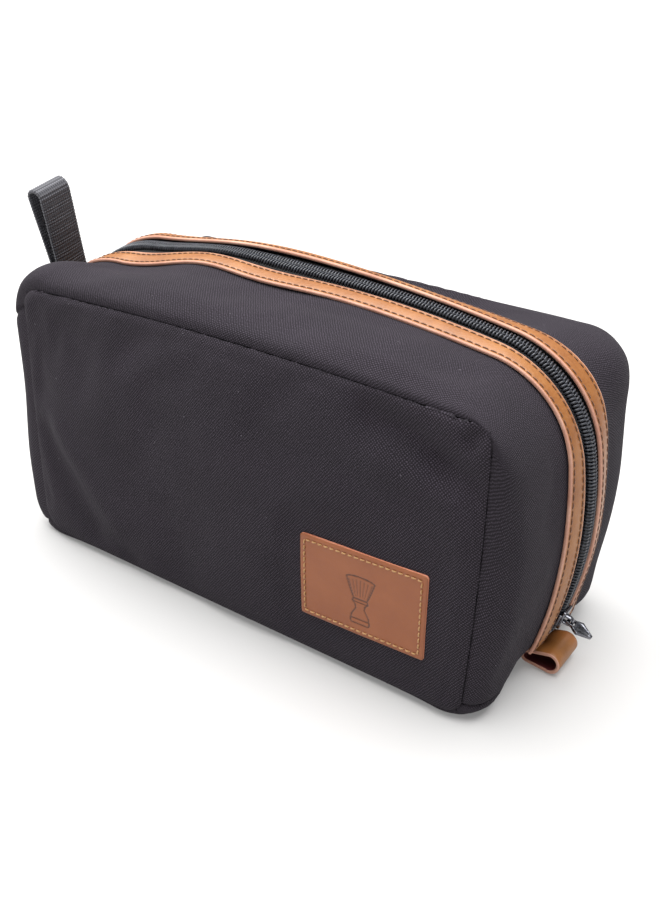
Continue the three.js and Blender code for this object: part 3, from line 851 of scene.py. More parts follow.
@dataclass
class Panel:
    """A large face of the bag: padded canvas, its lining and the bound seam behind it."""

    side: Side
    folds: Sequence[Fold] = ()
    columns: int = 150
    rows: int = 92
    canvas: float = 1.4
    lining: float = 0.7
    lining_inset: float = 2.2
    lining_gap: float = 4.4
    roll_depth: float = 56.5
    seed: int = 3

    def _edge(self, start: float, stop: float, shares: Array) -> Array:
        """Points of the seam outline between two places, at shares of its length."""
        t = np.linspace(start, stop, 500)
        p = WALL.seam.point(t)
        run = np.concatenate([[0], np.cumsum(np.linalg.norm(np.diff(p, axis=0), axis=1))])
        return WALL.seam.point(np.interp(shares * run[-1], run, t))

    def _patch(self, columns: int, rows: int) -> Array:
        """X and Z of a grid that fills the seam outline, finest at its edges."""
        u, v = (0.18 * s + 0.82 * (0.5 - 0.5 * np.cos(math.pi * s))
                for s in (np.linspace(0, 1, columns), np.linspace(0, 1, rows)))
        base = self._edge(LOW_LEFT, LOW_RIGHT + SEGMENTS, u)
        top = self._edge(HIGH_LEFT, HIGH_RIGHT, u)
        left, right = self._edge(LOW_LEFT, HIGH_LEFT, v), self._edge(LOW_RIGHT, HIGH_RIGHT, v)
        u, v = u[None, :, None], v[:, None, None]
        ruled = (1 - v) * base[None] + v * top[None] + (1 - u) * left[:, None] + u * right[:, None]
        corners = ((1 - u) * (1 - v) * base[0] + u * (1 - v) * base[-1] + (1 - u) * v * top[0]
                   + u * v * top[-1])
        return ruled - corners

    @staticmethod
    def inset(xz: Array) -> Array:
        """Distance of each place from the seam."""
        line = WALL.seam.point(np.linspace(0, SEGMENTS, 1400, endpoint=False))
        flat = xz.reshape(-1, 2)
        gaps = [np.sqrt(((row[:, None] - line[None]) ** 2).sum(-1)).min(axis=1)
                for row in np.array_split(flat, 24)]
        return np.concatenate(gaps).reshape(xz.shape[:-1])

    def face_y(self, xz: Array) -> Array:
        """How far the canvas face stands from the bag's middle plane."""
        near = np.clip(self.inset(xz) / WALL.shoulder, 0, 1)
        round_edge = np.sqrt(1 - (1 - near) ** 2)
        y = WALL.seam_y + (WALL.shoulder_rise + WALL.panel_lift) * round_edge
        y = y + WALL.dome * WALL.dome_share(xz[..., 0], xz[..., 1])
        for fold in self.folds:
            y = y + fold.at(xz) * round_edge
        spread = np.concatenate([xz, np.zeros_like(xz[..., :1])], -1)
        broad, small = waves(spread, 70, self.seed), waves(spread, 26, self.seed + 1)
        y = y + round_edge * (broad * 0.55 + small * 0.16)
        return y

    def build(self, finishes: Finishes) -> None:
        """Makes the canvas, its lining and its bound seam."""
        word, body = ("front", "front_shell") if self.side is Side.FRONT else ("back", "root")
        facing = np.array([0, self.side.value, 0])
        xz = self._patch(self.columns, self.rows)
        y = self.side.value * self.face_y(xz)
        points = np.stack([xz[..., 0], y, xz[..., 1]], -1)
        face = open_sheet(f"{word}_canvas_panel", points, facing, xz * MM)
        relax(face, self.inset(xz) < 0.6, self._free(xz), 1.2, 0.006, 3.5)
        thicken(face, self.canvas)
        dress(face, finishes.canvas)
        settle(face, "canvas", body, f"{word}_panel")

        xz = self._patch(70, 44)
        middle = np.array([0.0, WALL.mid_z])
        xz = middle + (xz - middle) * (1 - self.lining_inset / 60)
        y = WALL.seam_y + 0.2 + 3 * WALL.dome_share(xz[..., 0], xz[..., 1])
        spread = np.concatenate([xz, np.zeros_like(xz[..., :1])], -1)
        y = self.side.value * (y - self.lining_gap + waves(spread, 45, self.seed + 2) * 0.4)
        inner = open_sheet(f"{word}_lining_panel", np.stack([xz[..., 0], y, xz[..., 1]], -1), facing,
                           xz * MM)
        thicken(inner, self.lining)
        dress(inner, finishes.lining)
        settle(inner, "lining", body, f"{word}_lining")
        self._bind(finishes, word, body)

    def _free(self, xz: Array) -> Array:
        """How free the canvas is to move: not at all behind the sewn patch."""
        edge = np.clip(self.inset(xz) / 8, 0, 1)
        if self.side is Side.BACK:
            return edge
        gap = np.abs(xz - np.array([Patch.x, Patch.z])) - np.array([Patch.width, Patch.height]) / 2
        far = np.linalg.norm(np.clip(gap, 0, None), axis=-1)
        return np.clip((far - 1) / 12, 0, 1) ** 2 * edge

    def _bind(self, finishes: Finishes, word: str, body: str) -> None:
        """The seam allowance, bound in tape: a narrow roll all round inside the seam."""
        t = np.linspace(BASE_FROM, LEFT_TO, 420, endpoint=False)
        middle = np.array([0, WALL.mid_z])
        out = WALL.seam.point(t) - middle
        reach = np.linalg.norm(out, axis=-1, keepdims=True)
        beside = np.full_like(t, self.side.value * (self.roll_depth + 0.1))
        wall = WALL.point(t, beside)[:, [0, 2]] - middle
        sag = np.clip(reach - np.linalg.norm(wall, axis=-1, keepdims=True), 0, None)
        a = np.linspace(0, 2 * math.pi, 12, endpoint=False)
        across = 3.2 + 2.4 * np.sign(np.cos(a)) * np.abs(np.cos(a)) ** 0.5
        deep = self.roll_depth + 1.2 * np.sign(np.sin(a)) * np.abs(np.sin(a)) ** 0.6
        wobble = 1 + 0.06 * np.sin(t * 23)[:, None]
        xz = middle + out[:, None] * (1 - (across[None] * wobble + sag) / reach)[..., None]
        y = np.broadcast_to(self.side.value * deep[None], xz.shape[:2])
        points = np.stack([xz[..., 0], y, xz[..., 1]], -1)
        count, size = points.shape[:2]
        points = np.concatenate([points, points[:1]])
        ring = grid_faces(count + 1, size, wrap=True) % (count * size)
        uv = np.stack([np.repeat(t[:, None] * 60 * MM, size, 1), np.broadcast_to(
            np.arange(size)[None] * 0.9 * MM, (count, size))], -1).reshape(-1, 2)
        if self.side is Side.BACK:
            ring = ring[:, ::-1]
        obj = make_object(f"{word}_bound_seam", points[:-1], ring.tolist(), uv[ring.ravel()])
        turn_outward(obj)
        dress(obj, finishes.binding)
        settle(obj, "binding", body, f"{word}_seam_binding")


def turn_outward(obj: bpy.types.Object) -> None:
    """Merges doubles and turns a closed piece's faces outward."""
    only(obj)
    bpy.ops.object.mode_set(mode="EDIT")
    bpy.ops.mesh.select_all(action="SELECT")
    bpy.ops.mesh.remove_doubles(threshold=1e-6)
    bpy.ops.mesh.normals_make_consistent(inside=False)
    bpy.ops.mesh.select_all(action="DESELECT")
    bpy.ops.object.mode_set(mode="OBJECT")


@dataclass
class Shell:
    """The bag's walls between the two panels: gussets beside the zip, left end and underside."""

    canvas: float = 1.4
    lining: float = 0.7
    lining_depth: float = 2.0
    canvas_edge: float = 10.6
    lining_edge: float = 16.0
    step: float = 2.0

    def _wall(self, name: str, start: float, stop: float, depths: Array, sunk: float,
              seams: Sequence[float], seed: int) -> bpy.types.Object:
        """One sheet that follows the wall.

        Args:
            name: the piece's name.
            start, stop: its ends along the outline.
            depths: its places across the bag.
            sunk: how far below the canvas face it lies.
            seams: ends where it dips into a sewn seam.
            seed: number of its own soft waves.

        Returns:
            The sheet, one layer thick.
        """
        middle = float(depths[len(depths) // 2])
        t = WALL.even(start, stop, self.step, middle)
        grid_t, grid_y = np.meshgrid(t, depths, indexing="ij")
        p = WALL.point(grid_t, grid_y)
        n = WALL.normal(grid_t, grid_y)
        calm = np.clip((WALL.seam_y - np.abs(grid_y)) / 10, 0, 1)
        lift = calm * (waves(p, 75, seed) * 0.5 + waves(p, 27, seed + 1) * 0.14) - sunk
        run = WALL.point(t, np.full_like(t, middle))
        for seam in seams:
            gap = np.linalg.norm(run - WALL.point(np.array(seam), np.array(middle)), axis=-1)
            lift = lift - 1.1 * np.exp(-(gap / 1.5) ** 2)[:, None]
        points = p + n * lift[..., None]
        return open_sheet(name, points, n[len(t) // 2, len(depths) // 2])

    def _whole(self, count: int, flat: float, n: float) -> Array:
        """Depths from seam to seam."""
        half = WALL.depths(0.0, count, flat, n)
        return np.concatenate([-half, half[-2::-1]])

    def _canvas(self, finishes: Finishes, obj: bpy.types.Object, body: str | Crossing,
                *nodes: str, trimmed: bool = False) -> None:
        """Lets a canvas sheet settle, calm under any trim, then gives it its thickness and finish."""
        depth = np.array([abs(v.co.y) for v in obj.data.vertices]) / MM
        free = np.clip((WALL.seam_y - depth) / 9, 0, 1)
        if trimmed:
            free = free * np.clip((depth - 18) / 10, 0, 1)
        relax(obj, boundary(obj), free, 0.9, 0.005, 3.0)
        thicken(obj, self.canvas)
        dress(obj, finishes.canvas)
        settle(obj, "canvas", body, *nodes)

    def _line(self, finishes: Finishes, obj: bpy.types.Object, body: str | Crossing,
              *nodes: str) -> None:
        """Gives a lining sheet its thickness and finish."""
        thicken(obj, self.lining)
        dress(obj, finishes.lining)
        settle(obj, "lining", body, *nodes)

    def build(self, finishes: Finishes) -> None:
        """Makes all the walls and their linings."""
        half = WALL.depths(self.canvas_edge, 34, 6)
        inner = WALL.depths(self.lining_edge, 18, 6)
        deep = self.lining_depth
        self._canvas(finishes, self._wall("rear_canvas_gusset", ZIP_FROM, ZIP_TO, half, 0,
                                          (ZIP_FROM, ZIP_TO), 11), "root", "rear_gusset", trimmed=True)
        self._canvas(finishes, self._wall("front_canvas_gusset_right", ZIP_FROM, ZIP_MID, -half, 0,
                                          (ZIP_FROM,), 15),
                     LOWER_RIGHT, "front_gusset_end", "front_gusset", trimmed=True)
        self._canvas(finishes, self._wall("front_canvas_gusset_left", ZIP_MID, ZIP_TO, -half, 0,
                                          (ZIP_TO,), 15), UPPER_LEFT, "front_gusset", trimmed=True)
        self._canvas(finishes, self._wall("underside_canvas", BASE_FROM, ZIP_FROM,
                                          self._whole(22, 34, 3.2), 0, (BASE_FROM, ZIP_FROM), 21),
                     ACROSS, "base_panel")
        self._canvas(finishes, self._wall("left_end_canvas", ZIP_TO, LEFT_TO, self._whole(34, 6, 4.6),
                                          0, (ZIP_TO, LEFT_TO), 25), ACROSS, "left_end_panel")
        self._line(finishes, self._wall("rear_gusset_lining_sheet", ZIP_FROM, ZIP_TO, inner, deep, (),
                                        31), "root", "rear_gusset_lining")
        self._line(finishes, self._wall("front_gusset_lining_right", ZIP_FROM, ZIP_MID, -inner, deep,
                                        (), 35), LOWER_RIGHT, "front_lining_end",
                   "front_gusset_lining")
        self._line(finishes, self._wall("front_gusset_lining_left", ZIP_MID, ZIP_TO, -inner, deep, (),
                                        35), UPPER_LEFT, "front_gusset_lining")
        self._line(finishes, self._wall("underside_lining", BASE_FROM, ZIP_FROM,
                                        self._whole(14, 34, 3.2), deep, (), 41), ACROSS, "base_lining")
        self._line(finishes, self._wall("left_end_lining_sheet", ZIP_TO, LEFT_TO,
                                        self._whole(18, 6, 4.6), deep, (), 45), ACROSS,
                   "left_end_lining")


def boundary(obj: bpy.types.Object) -> Array:
    """1 for each point on an open sheet's edge, else 0."""
    edges = np.zeros(len(obj.data.vertices))
    count = {}
    for polygon in obj.data.polygons:
        for key in polygon.edge_keys:
            count[key] = count.get(key, 0) + 1
    for key, uses in count.items():
        if uses == 1:
            edges[list(key)] = 1
    return edges


# ---- Zip ----------------------------------------------------------------------------------------


def threads(name: str, a: Array, b: Array, up: Array, radius: float, rise: float) -> bpy.types.Object:
    """Short stitches that come up at one hole and go down at the next.

    Args:
        name: the piece's name.
        a, b: both holes of each stitch, in millimetres.
        up: outward direction at each stitch.
        radius: half the thread's thickness.
        rise: how far the middle of a stitch stands over its holes.

    Returns:
        One object with every stitch.
    """
    along = b - a
    along = along / np.linalg.norm(along, axis=1, keepdims=True)
    side = np.cross(up, along)
    shares = np.array([0.0, 0.16, 0.5, 0.84, 1.0])
    lifts = np.array([-0.9, 0.55, 1.0, 0.55, -0.9]) * rise
    girth = np.array([0.55, 1.0, 1.08, 1.0, 0.55]) * radius
    angle = np.linspace(0, 2 * math.pi, TUBE_SIDES, endpoint=False)
    spine = a[:, None] + (b - a)[:, None] * shares[:, None] + up[:, None] * lifts[:, None]
    turn = side[:, None, None] * np.cos(angle)[:, None] + up[:, None, None] * np.sin(angle)[:, None]
    points = spine[:, :, None] + turn * girth[:, None, None]
    size = len(shares) * TUBE_SIDES
    plan = np.stack(np.meshgrid(shares * 2.4, np.arange(TUBE_SIDES) * 0.35, indexing="ij"), -1)
    plan = plan.reshape(-1, 2)
    shape = [f[::-1] for f in grid_faces(len(shares), TUBE_SIDES, wrap=True).tolist()]
    shape += [list(range(TUBE_SIDES))[::-1], list(range(size - TUBE_SIDES, size))]
    faces = [[size * k + v for v in face] for k in range(len(a)) for face in shape]
    uv = np.concatenate([plan[f] for f in shape] * len(a)) * MM
    obj = make_object(name, points, faces, uv)
    turn_outward(obj)
    return obj


@dataclass
class Zip:
    """The zip and its leather trims, from the right end's foot up and over to the left end."""

    side: Side
    trim_inner: float = 6.3
    front_setback: float = 2.3
    trim_middle: float = 12.0
    trim_outer: float = 18.3
    trim_lift: float = 0.25
    trim_thick: float = 1.55
    stitch_rows: Sequence[float] = (0.19, 0.81)
    stitch_pitch: float = 3.4
    tooth_pitch: float = 1.5
    profile: Sequence[tuple] = (
        (0.0, 0.12), (0.0, 0.62), (0.02, 0.86), (0.075, 0.98), (0.12, 1.0), (0.16, 0.93), (0.19, 0.84),
        (0.22, 0.93), (0.34, 1.02), (0.5, 1.05), (0.66, 1.02), (0.78, 0.93), (0.81, 0.84), (0.84, 0.93),
        (0.88, 1.0), (0.925, 0.98), (0.98, 0.86), (1.0, 0.62), (1.0, 0.12), (0.98, 0.0), (0.5, 0.0),
        (0.02, 0.0))
    tooth: Sequence[tuple] = ((3.2, -0.9), (3.15, 0.3), (2.4, 1.0), (1.2, 1.15), (0.15, 1.0),
                              (-0.5, 0.3), (-0.2, -0.7))

    @property
    def word(self) -> str:
        """The side's word in names."""
        return "front" if self.side is Side.FRONT else "rear"

    def _spans(self, stop: float) -> list:
        """Each stretch of this side: name ending, start, stop and what it moves with."""
        if self.side is Side.BACK:
            return [("", ZIP_FROM + 0.02, stop, "root")]
        return [("_right", ZIP_FROM + 0.02, ZIP_MID, LOWER_RIGHT), ("_left", ZIP_MID, stop, UPPER_LEFT)]

    def _nodes(self, kind: str, ending: str) -> list:
        """CAD nodes that a stretch stands for."""
        names = [f"{self.word}_{kind}"]
        return names + [f"front_{kind}_end"] if ending == "_right" else names

    def _edge(self, t: Array, share: Array) -> Array:
        """Depth across the trim at a share of its width, with the hand-cut outer edge's wander."""
        line = np.stack([t * 55, np.zeros_like(t), np.zeros_like(t)], -1)
        seed = 51 if self.side is Side.FRONT else 57
        wander = waves(line, 60, seed) * 0.45 + waves(line, 14, seed + 1) * 0.14
        if self.side is Side.BACK:
            wander = wander + waves(line, 5, 63) * 0.22
        outer = self.trim_outer + wander
        inner = self.trim_inner + (self.front_setback if self.side is Side.FRONT else 0)
        return self.side.value * (inner + (outer - inner) * share)

    def _trim(self, finishes: Finishes) -> None:
        """Leather strip with rounded, raw edges and a groove under each stitch row."""
        shares = np.array([p[0] for p in self.profile])
        heights = np.array([p[1] for p in self.profile]) * self.trim_thick + self.trim_lift
        after = np.roll(shares, -1)
        raw = [int(max(s, a) < 0.08 or min(s, a) > 0.92) for s, a in zip(shares, after)]
        for ending, start, stop, body in self._spans(TRIM_TO):
            t = WALL.even(start, stop, 1.8, self.side.value * self.trim_middle)
            grid_t = np.broadcast_to(t[:, None], (len(t), len(shares)))
            y = self._edge(grid_t, shares[None])
            rings = WALL.offset(grid_t, y, np.broadcast_to(heights[None], y.shape))
            strip = loft(f"{self.word}_leather_trim{ending}", rings, raw)
            smooth_edges(strip, 60)
            dress(strip, finishes.leather, finishes.cut_edge)
            settle(strip, "leather", body, *self._nodes("trim", ending))
            self._stitch(finishes, ending, start, stop, body)

    def _stitch(self, finishes: Finishes, ending: str, start: float, stop: float,
                body: str | Crossing) -> None:
        """Both rows of brown stitches on a stretch of trim."""
        ends = []
        for share in self.stitch_rows:
            first = start + (0.01 if start < ZIP_MID else 0.0005)
            last = stop - (0.01 if stop > ZIP_MID else 0.0005)
            t = WALL.even(first, last, self.stitch_pitch, self.side.value * self.trim_middle)
            step = np.diff(t)
            a = t[:-1] + step * 0.06
            b = t[:-1] + step * 0.94
            level = self.trim_lift + self.trim_thick * 0.9
            hole = [WALL.offset(q, self._edge(q, np.full_like(q, share)), np.full_like(q, level))
                    for q in (a, b)]
            up = WALL.normal(a, self._edge(a, np.full_like(a, share)))
            ends.append((hole[0], hole[1], up))
        a, b, up = (np.concatenate([e[k] for e in ends]) for k in range(3))
        row = threads(f"{self.word}_trim_stitching{ending}", a, b, up, 0.28, 0.22)
        dress(row, finishes.brown_thread)
        settle(row, "leather", body)

    def _tape(self, finishes: Finishes) -> None:
        """Woven tape between the coil and the trim."""
        profile = [(1.0, -1.95), (3.8, -1.9), (6.3, -1.8), (9, -1.95), (15, -1.95), (15, -2.55),
                   (9, -2.55), (1.0, -2.55)]
        for ending, start, stop, body in self._spans(ZIP_TO - 0.02):
            t = WALL.even(start, stop, 2.4, self.side.value * 4)
            y = np.array([p[0] for p in profile]) * self.side.value
            d = np.array([p[1] for p in profile])
            grid_t = np.broadcast_to(t[:, None], (len(t), len(profile)))
            rings = WALL.offset(grid_t, np.broadcast_to(y[None], grid_t.shape),
                                np.broadcast_to(d[None], grid_t.shape))
            tape = loft(f"{self.word}_tape{ending}", rings)
            dress(tape, finishes.tape)
            settle(tape, "zip_tape", body, *self._nodes("zip_tape", ending))

    def _coil(self, finishes: Finishes) -> None:
        """Nylon coil: one bent filament loop for each tooth, meshed with the other side's."""
        first, last = ZIP_FROM + 0.09, TRIM_TO - 0.04
        places = WALL.even(first, last, self.tooth_pitch, 0.0)
        shift = 0.0 if self.side is Side.BACK else 0.5
        places = places[:-1] + np.diff(places) * shift
        width = np.gradient(places)
        y = self.side.value * np.array([p[0] for p in self.tooth])
        d = np.array([p[1] for p in self.tooth])
        slant = np.linspace(0.32, -0.32, len(y))
        for ending, start, stop, body in self._spans(TRIM_TO):
            keep = (places >= start) & (places < stop)
            t = places[keep, None] + width[keep, None] * slant[None]
            spine = WALL.offset(t, np.broadcast_to(y[None], t.shape), np.broadcast_to(d[None], t.shape))
            obj = self._teeth(f"{self.word}_coil_teeth{ending}", spine)
            dress(obj, finishes.coil)
            settle(obj, "zip_coil", body, *self._nodes("coil", ending))

    def _teeth(self, name: str, spine: Array) -> bpy.types.Object:
        """Tubes along the rows of points.

        Args:
            name: the piece's name.
            spine: points as (tooth, point, 3), in millimetres.

        Returns:
            One object with every tooth.
        """
        count, size = spine.shape[:2]
        way = np.gradient(spine, axis=1)
        way /= np.linalg.norm(way, axis=-1, keepdims=True)
        travel = np.gradient(spine.mean(axis=1), axis=0)
        travel /= np.linalg.norm(travel, axis=-1, keepdims=True)
        side = travel[:, None] - (travel[:, None] * way).sum(-1, keepdims=True) * way
        side /= np.linalg.norm(side, axis=-1, keepdims=True)
        up = np.cross(way, side)
        angle = np.linspace(0, 2 * math.pi, TUBE_SIDES, endpoint=False)
        girth = np.array([0.4, 0.46, 0.46, 0.4, 0.36, 0.34, 0.3])[None, :, None, None]
        ring = side[:, :, None] * np.cos(angle)[:, None] + up[:, :, None] * np.sin(angle)[:, None]
        points = spine[:, :, None] + ring * girth
        total = size * TUBE_SIDES
        shape = grid_faces(size, TUBE_SIDES, wrap=True).tolist()
        shape += [list(range(TUBE_SIDES))[::-1], list(range(total - TUBE_SIDES, total))]
        faces = [[total * k + v for v in face] for k in range(count) for face in shape]
        obj = make_object(name, points, faces)
        turn_outward(obj)
        return obj

    def build(self, finishes: Finishes) -> None:
        """Makes this side's trim, stitching, tape, coil and top stop."""
        self._trim(finishes)
        self._tape(finishes)
        self._coil(finishes)
        body = "root" if self.side is Side.BACK else UPPER_LEFT
        stop = crimp(f"{self.word}_top_crimp", TRIM_TO - 0.02, TRIM_TO + 0.015,
                     self.side.value * 1.0, self.side.value * 3.6)
        dress(stop, finishes.gunmetal)
        settle(stop, "gunmetal", body, f"{self.word}_top_stop")


def crimp(name: str, start: float, stop: float, near: float, far: float) -> bpy.types.Object:
    """A small rounded metal crimp across the coil."""
    level = -0.2
    a = np.linspace(0, 2 * math.pi, 16, endpoint=False)
    y = (near + far) / 2 + (far - near) / 2 * np.sign(np.cos(a)) * np.abs(np.cos(a)) ** 0.5
    d = level + 1.4 * np.sign(np.sin(a)) * np.abs(np.sin(a)) ** 0.5
    swell = np.array([0.72, 0.93, 1.0, 1.0, 0.93, 0.72])
    t = start + (stop - start) * np.array([0.0, 0.08, 0.25, 0.75, 0.92, 1.0])
    middle = (near + far) / 2
    grid_t = np.broadcast_to(t[:, None], (len(t), len(a)))
    rings = WALL.offset(grid_t, middle + (y[None] - middle) * swell[:, None],
                        level + (d[None] - level) * swell[:, None])
    return loft(name, rings)


# ---- Slider and pull --------------------------------------------------------------------------------


def edit_box(name: str, low: Sequence[float], high: Sequence[float]) -> bpy.types.Object:
    """A box between two corners, in millimetres, as a start for shaping."""
    bpy.ops.object.select_all(action="DESELECT")
    size = [(b - a) * MM for a, b in zip(low, high)]
    centre = [(a + b) / 2 * MM for a, b in zip(low, high)]
    bpy.ops.mesh.primitive_cube_add(size=1, location=(0, 0, 0))
    obj = bpy.context.active_object
    obj.name = obj.data.name = name
    bpy.ops.object.mode_set(mode="EDIT")
    bpy.ops.transform.resize(value=size)
    bpy.ops.transform.translate(value=centre)
    bpy.ops.object.mode_set(mode="OBJECT")
    return obj


def pick(obj: bpy.types.Object, test: Callable) -> None:
    """Selects, in edit mode, the points whose place in millimetres passes a test."""
    only(obj)
    bpy.ops.object.mode_set(mode="EDIT")
    bpy.ops.mesh.select_mode(type="VERT")
    bpy.ops.mesh.select_all(action="DESELECT")
    bpy.ops.object.mode_set(mode="OBJECT")
    for vertex in obj.data.vertices:
        vertex.select = bool(test(*(vertex.co / MM)))
    bpy.ops.object.mode_set(mode="EDIT")


def done() -> None:
    """Leaves edit mode."""
    bpy.ops.mesh.select_all(action="DESELECT")
    bpy.ops.object.mode_set(mode="OBJECT")


@dataclass
class Slider:
    """Zip slider: two plates and their post, the crown over them and the kite-shaped pull."""

    centre: tuple = (-20.0, 0.0, 68.0)
    rest_deg: float = 15.6
    drop_deg: float = 6.0
    reach: float = 161.7
    plate: float = 1.4
    channel: float = 5.6
    length: float = 10.0
    width: float = 9.0
    crown_radius: float = 1.75
    crown_wire: float = 0.62
    axis_height: float = 1.5

    def _place(self, obj: bpy.types.Object) -> None:
        """Turns a piece from the slider's own frame to its place on the bag."""
        turn = Matrix.Rotation(math.radians(self.rest_deg), 4, "Y")
        obj.data.transform(Matrix.Translation([v * MM for v in self.centre]) @ turn)

    def _plate(self, name: str, x0: float, x1: float) -> bpy.types.Object:
        """One plate: broad at its mouth, drawn in at its nose, its edges rounded."""
        half, wide = self.length / 2, self.width / 2
        obj = edit_box(name, (x0, -wide, -half), (x1, wide, half))
        pick(obj, lambda x, y, z: True)
        bpy.ops.mesh.subdivide(number_cuts=3)
        pick(obj, lambda x, y, z: z < -half + 0.1)
        bpy.ops.transform.resize(value=(1, 0.62, 1), center_override=(0, 0, 0))
        pick(obj, lambda x, y, z: -half + 0.1 < z < -half + 2.6)
        bpy.ops.transform.resize(value=(1, 0.92, 1), center_override=(0, 0, 0))
        pick(obj, lambda x, y, z: z > half - 0.1)
        bpy.ops.transform.resize(value=(1, 0.82, 1), center_override=(0, 0, 0))
        done()
        apply(obj, "BEVEL", width=0.45 * MM, segments=3, limit_method="ANGLE",
              angle_limit=math.radians(40))
        return obj

    def _body(self, finishes: Finishes) -> None:
        """Both plates, their side flanges and the post that parts the coils."""
        inner = self.reach - self.channel
        outer_plate = self._plate("slider_plates", self.reach, self.reach + self.plate)
        parts = [self._plate("under_plate", inner - self.plate, inner)]
        post = edit_box("post", (inner - 0.3, -0.7, 1.4), (self.reach + 0.3, 0.7, 4.0))
        apply(post, "BEVEL", width=0.25 * MM, segments=2)
        parts.append(post)
        for sign in (-1, 1):
            low = (self.reach - 1.3, min(sign * 3.9, sign * 4.5), -2.6)
            high = (self.reach + 0.4, max(sign * 3.9, sign * 4.5), 3.2)
            lip = edit_box("flange", low, high)
            apply(lip, "BEVEL", width=0.22 * MM, segments=2)
            parts.append(lip)
        for part in parts:
            apply(outer_plate, "BOOLEAN", object=part, operation="UNION", solver="EXACT")
            bpy.data.objects.remove(part)
        turn_outward(outer_plate)
        self._place(outer_plate)
        smooth_edges(outer_plate)
        dress(outer_plate, finishes.gunmetal)
        settle(outer_plate, "gunmetal", "slider", "slider_body")

    def _crown(self, finishes: Finishes) -> None:
        """The bridge that the pull hangs on: a bent strap with rounded edges and broad feet."""
        foot = self.reach + self.plate + 0.3
        middle = foot + self.axis_height
        angle = np.linspace(-math.pi / 2, math.pi / 2, 13)
        path = [(foot - 0.35, -self.crown_radius)] + [
            (middle + self.crown_radius * math.cos(a) * 0.98, self.crown_radius * math.sin(a))
            for a in angle] + [(foot - 0.35, self.crown_radius)]
        path = np.array(path)
        way = np.gradient(path, axis=0)
        way /= np.linalg.norm(way, axis=1, keepdims=True)
        out = np.stack([way[:, 1], -way[:, 0]], -1)
        a = np.linspace(0, 2 * math.pi, 14, endpoint=False)
        high = self.crown_wire * np.sign(np.sin(a)) * np.abs(np.sin(a)) ** 0.6
        wide = 1.05 * np.sign(np.cos(a)) * np.abs(np.cos(a)) ** 0.6
        xz = path[:, None] + out[:, None] * high[None, :, None]
        flare = 1 + 0.35 * np.exp(-((path[:, 0] - foot) / 0.7) ** 2)
        rings = np.stack([xz[..., 0], wide[None] * flare[:, None], xz[..., 1]], -1)
        obj = loft("slider_bridge", rings)
        self._place(obj)
        smooth_edges(obj)
        dress(obj, finishes.gunmetal)
        settle(obj, "gunmetal", "slider", "slider_crown")

    def _pull(self, finishes: Finishes) -> None:
        """Kite-shaped pull: a bright rim round two sunk facets, with an eye at its root."""
        half = 0.65
        obj = edit_box("kite_pull", (-0.8, -3.8, -half), (11.5, 3.8, half))
        pick(obj, lambda x, y, z: True)
        bpy.ops.mesh.subdivide(number_cuts=15)
        done()
        for vertex in obj.data.vertices:
            x, y, z = vertex.co / MM
            share = y / 3.8
            knots = [(-0.8, 1.9), (2.3, 2.3), (3.8, 3.3), (5.35, 4.1), (11.5, 0.55)]
            wide = np.interp(x, [k[0] for k in knots], [k[1] for k in knots])
            inner = abs(share) < 0.72 and 3.5 < x < 10.4
            level = (0.55 + 0.5 * (1 - abs(share) / 0.72)) if inner else 1.0
            vertex.co = (x * MM, share * wide * MM, z * level * MM)
        eye = edit_box("eye", (0.7, -1.55, -2), (2.95, 1.55, 2))
        apply(eye, "BEVEL", width=0.5 * MM, segments=3)
        apply(obj, "BOOLEAN", object=eye, operation="DIFFERENCE", solver="EXACT")
        bpy.data.objects.remove(eye)
        apply(obj, "BEVEL", width=0.16 * MM, segments=2, limit_method="ANGLE",
              angle_limit=math.radians(50))
        turn_outward(obj)
        for polygon in obj.data.polygons:
            x, y, z = polygon.center / MM
            limit = np.interp(x, [3.7, 5.35, 11.0], [2.2, 2.75, 0.5])
            polygon.material_index = int(3.9 < x < 10.2 and abs(y) < limit and abs(z) > 0.2)
        axis = self.reach + self.plate + 0.3 + self.axis_height
        drop = Matrix.Rotation(math.radians(self.drop_deg), 4, "Y")
        obj.data.transform(Matrix.Translation((axis * MM, 0, 0)) @ drop)
        self._place(obj)
        smooth_edges(obj, 30)
        dress(obj, finishes.gunmetal, finishes.enamel)
        settle(obj, "gunmetal", "pull", "pull_tab")

    def build(self, finishes: Finishes) -> None:
        """Makes the slider, its pull and the bottom crimp where it comes to rest."""
        self._body(finishes)
        self._crown(finishes)
        self._pull(finishes)
        stop = crimp("zip_end_crimp", ZIP_FROM + 0.03, ZIP_FROM + 0.065, -3.6, 3.6)
        dress(stop, finishes.gunmetal)
        settle(stop, "gunmetal", "root", "zip_bottom_stop")


# ---- Loops ------------------------------------------------------------------------------------------


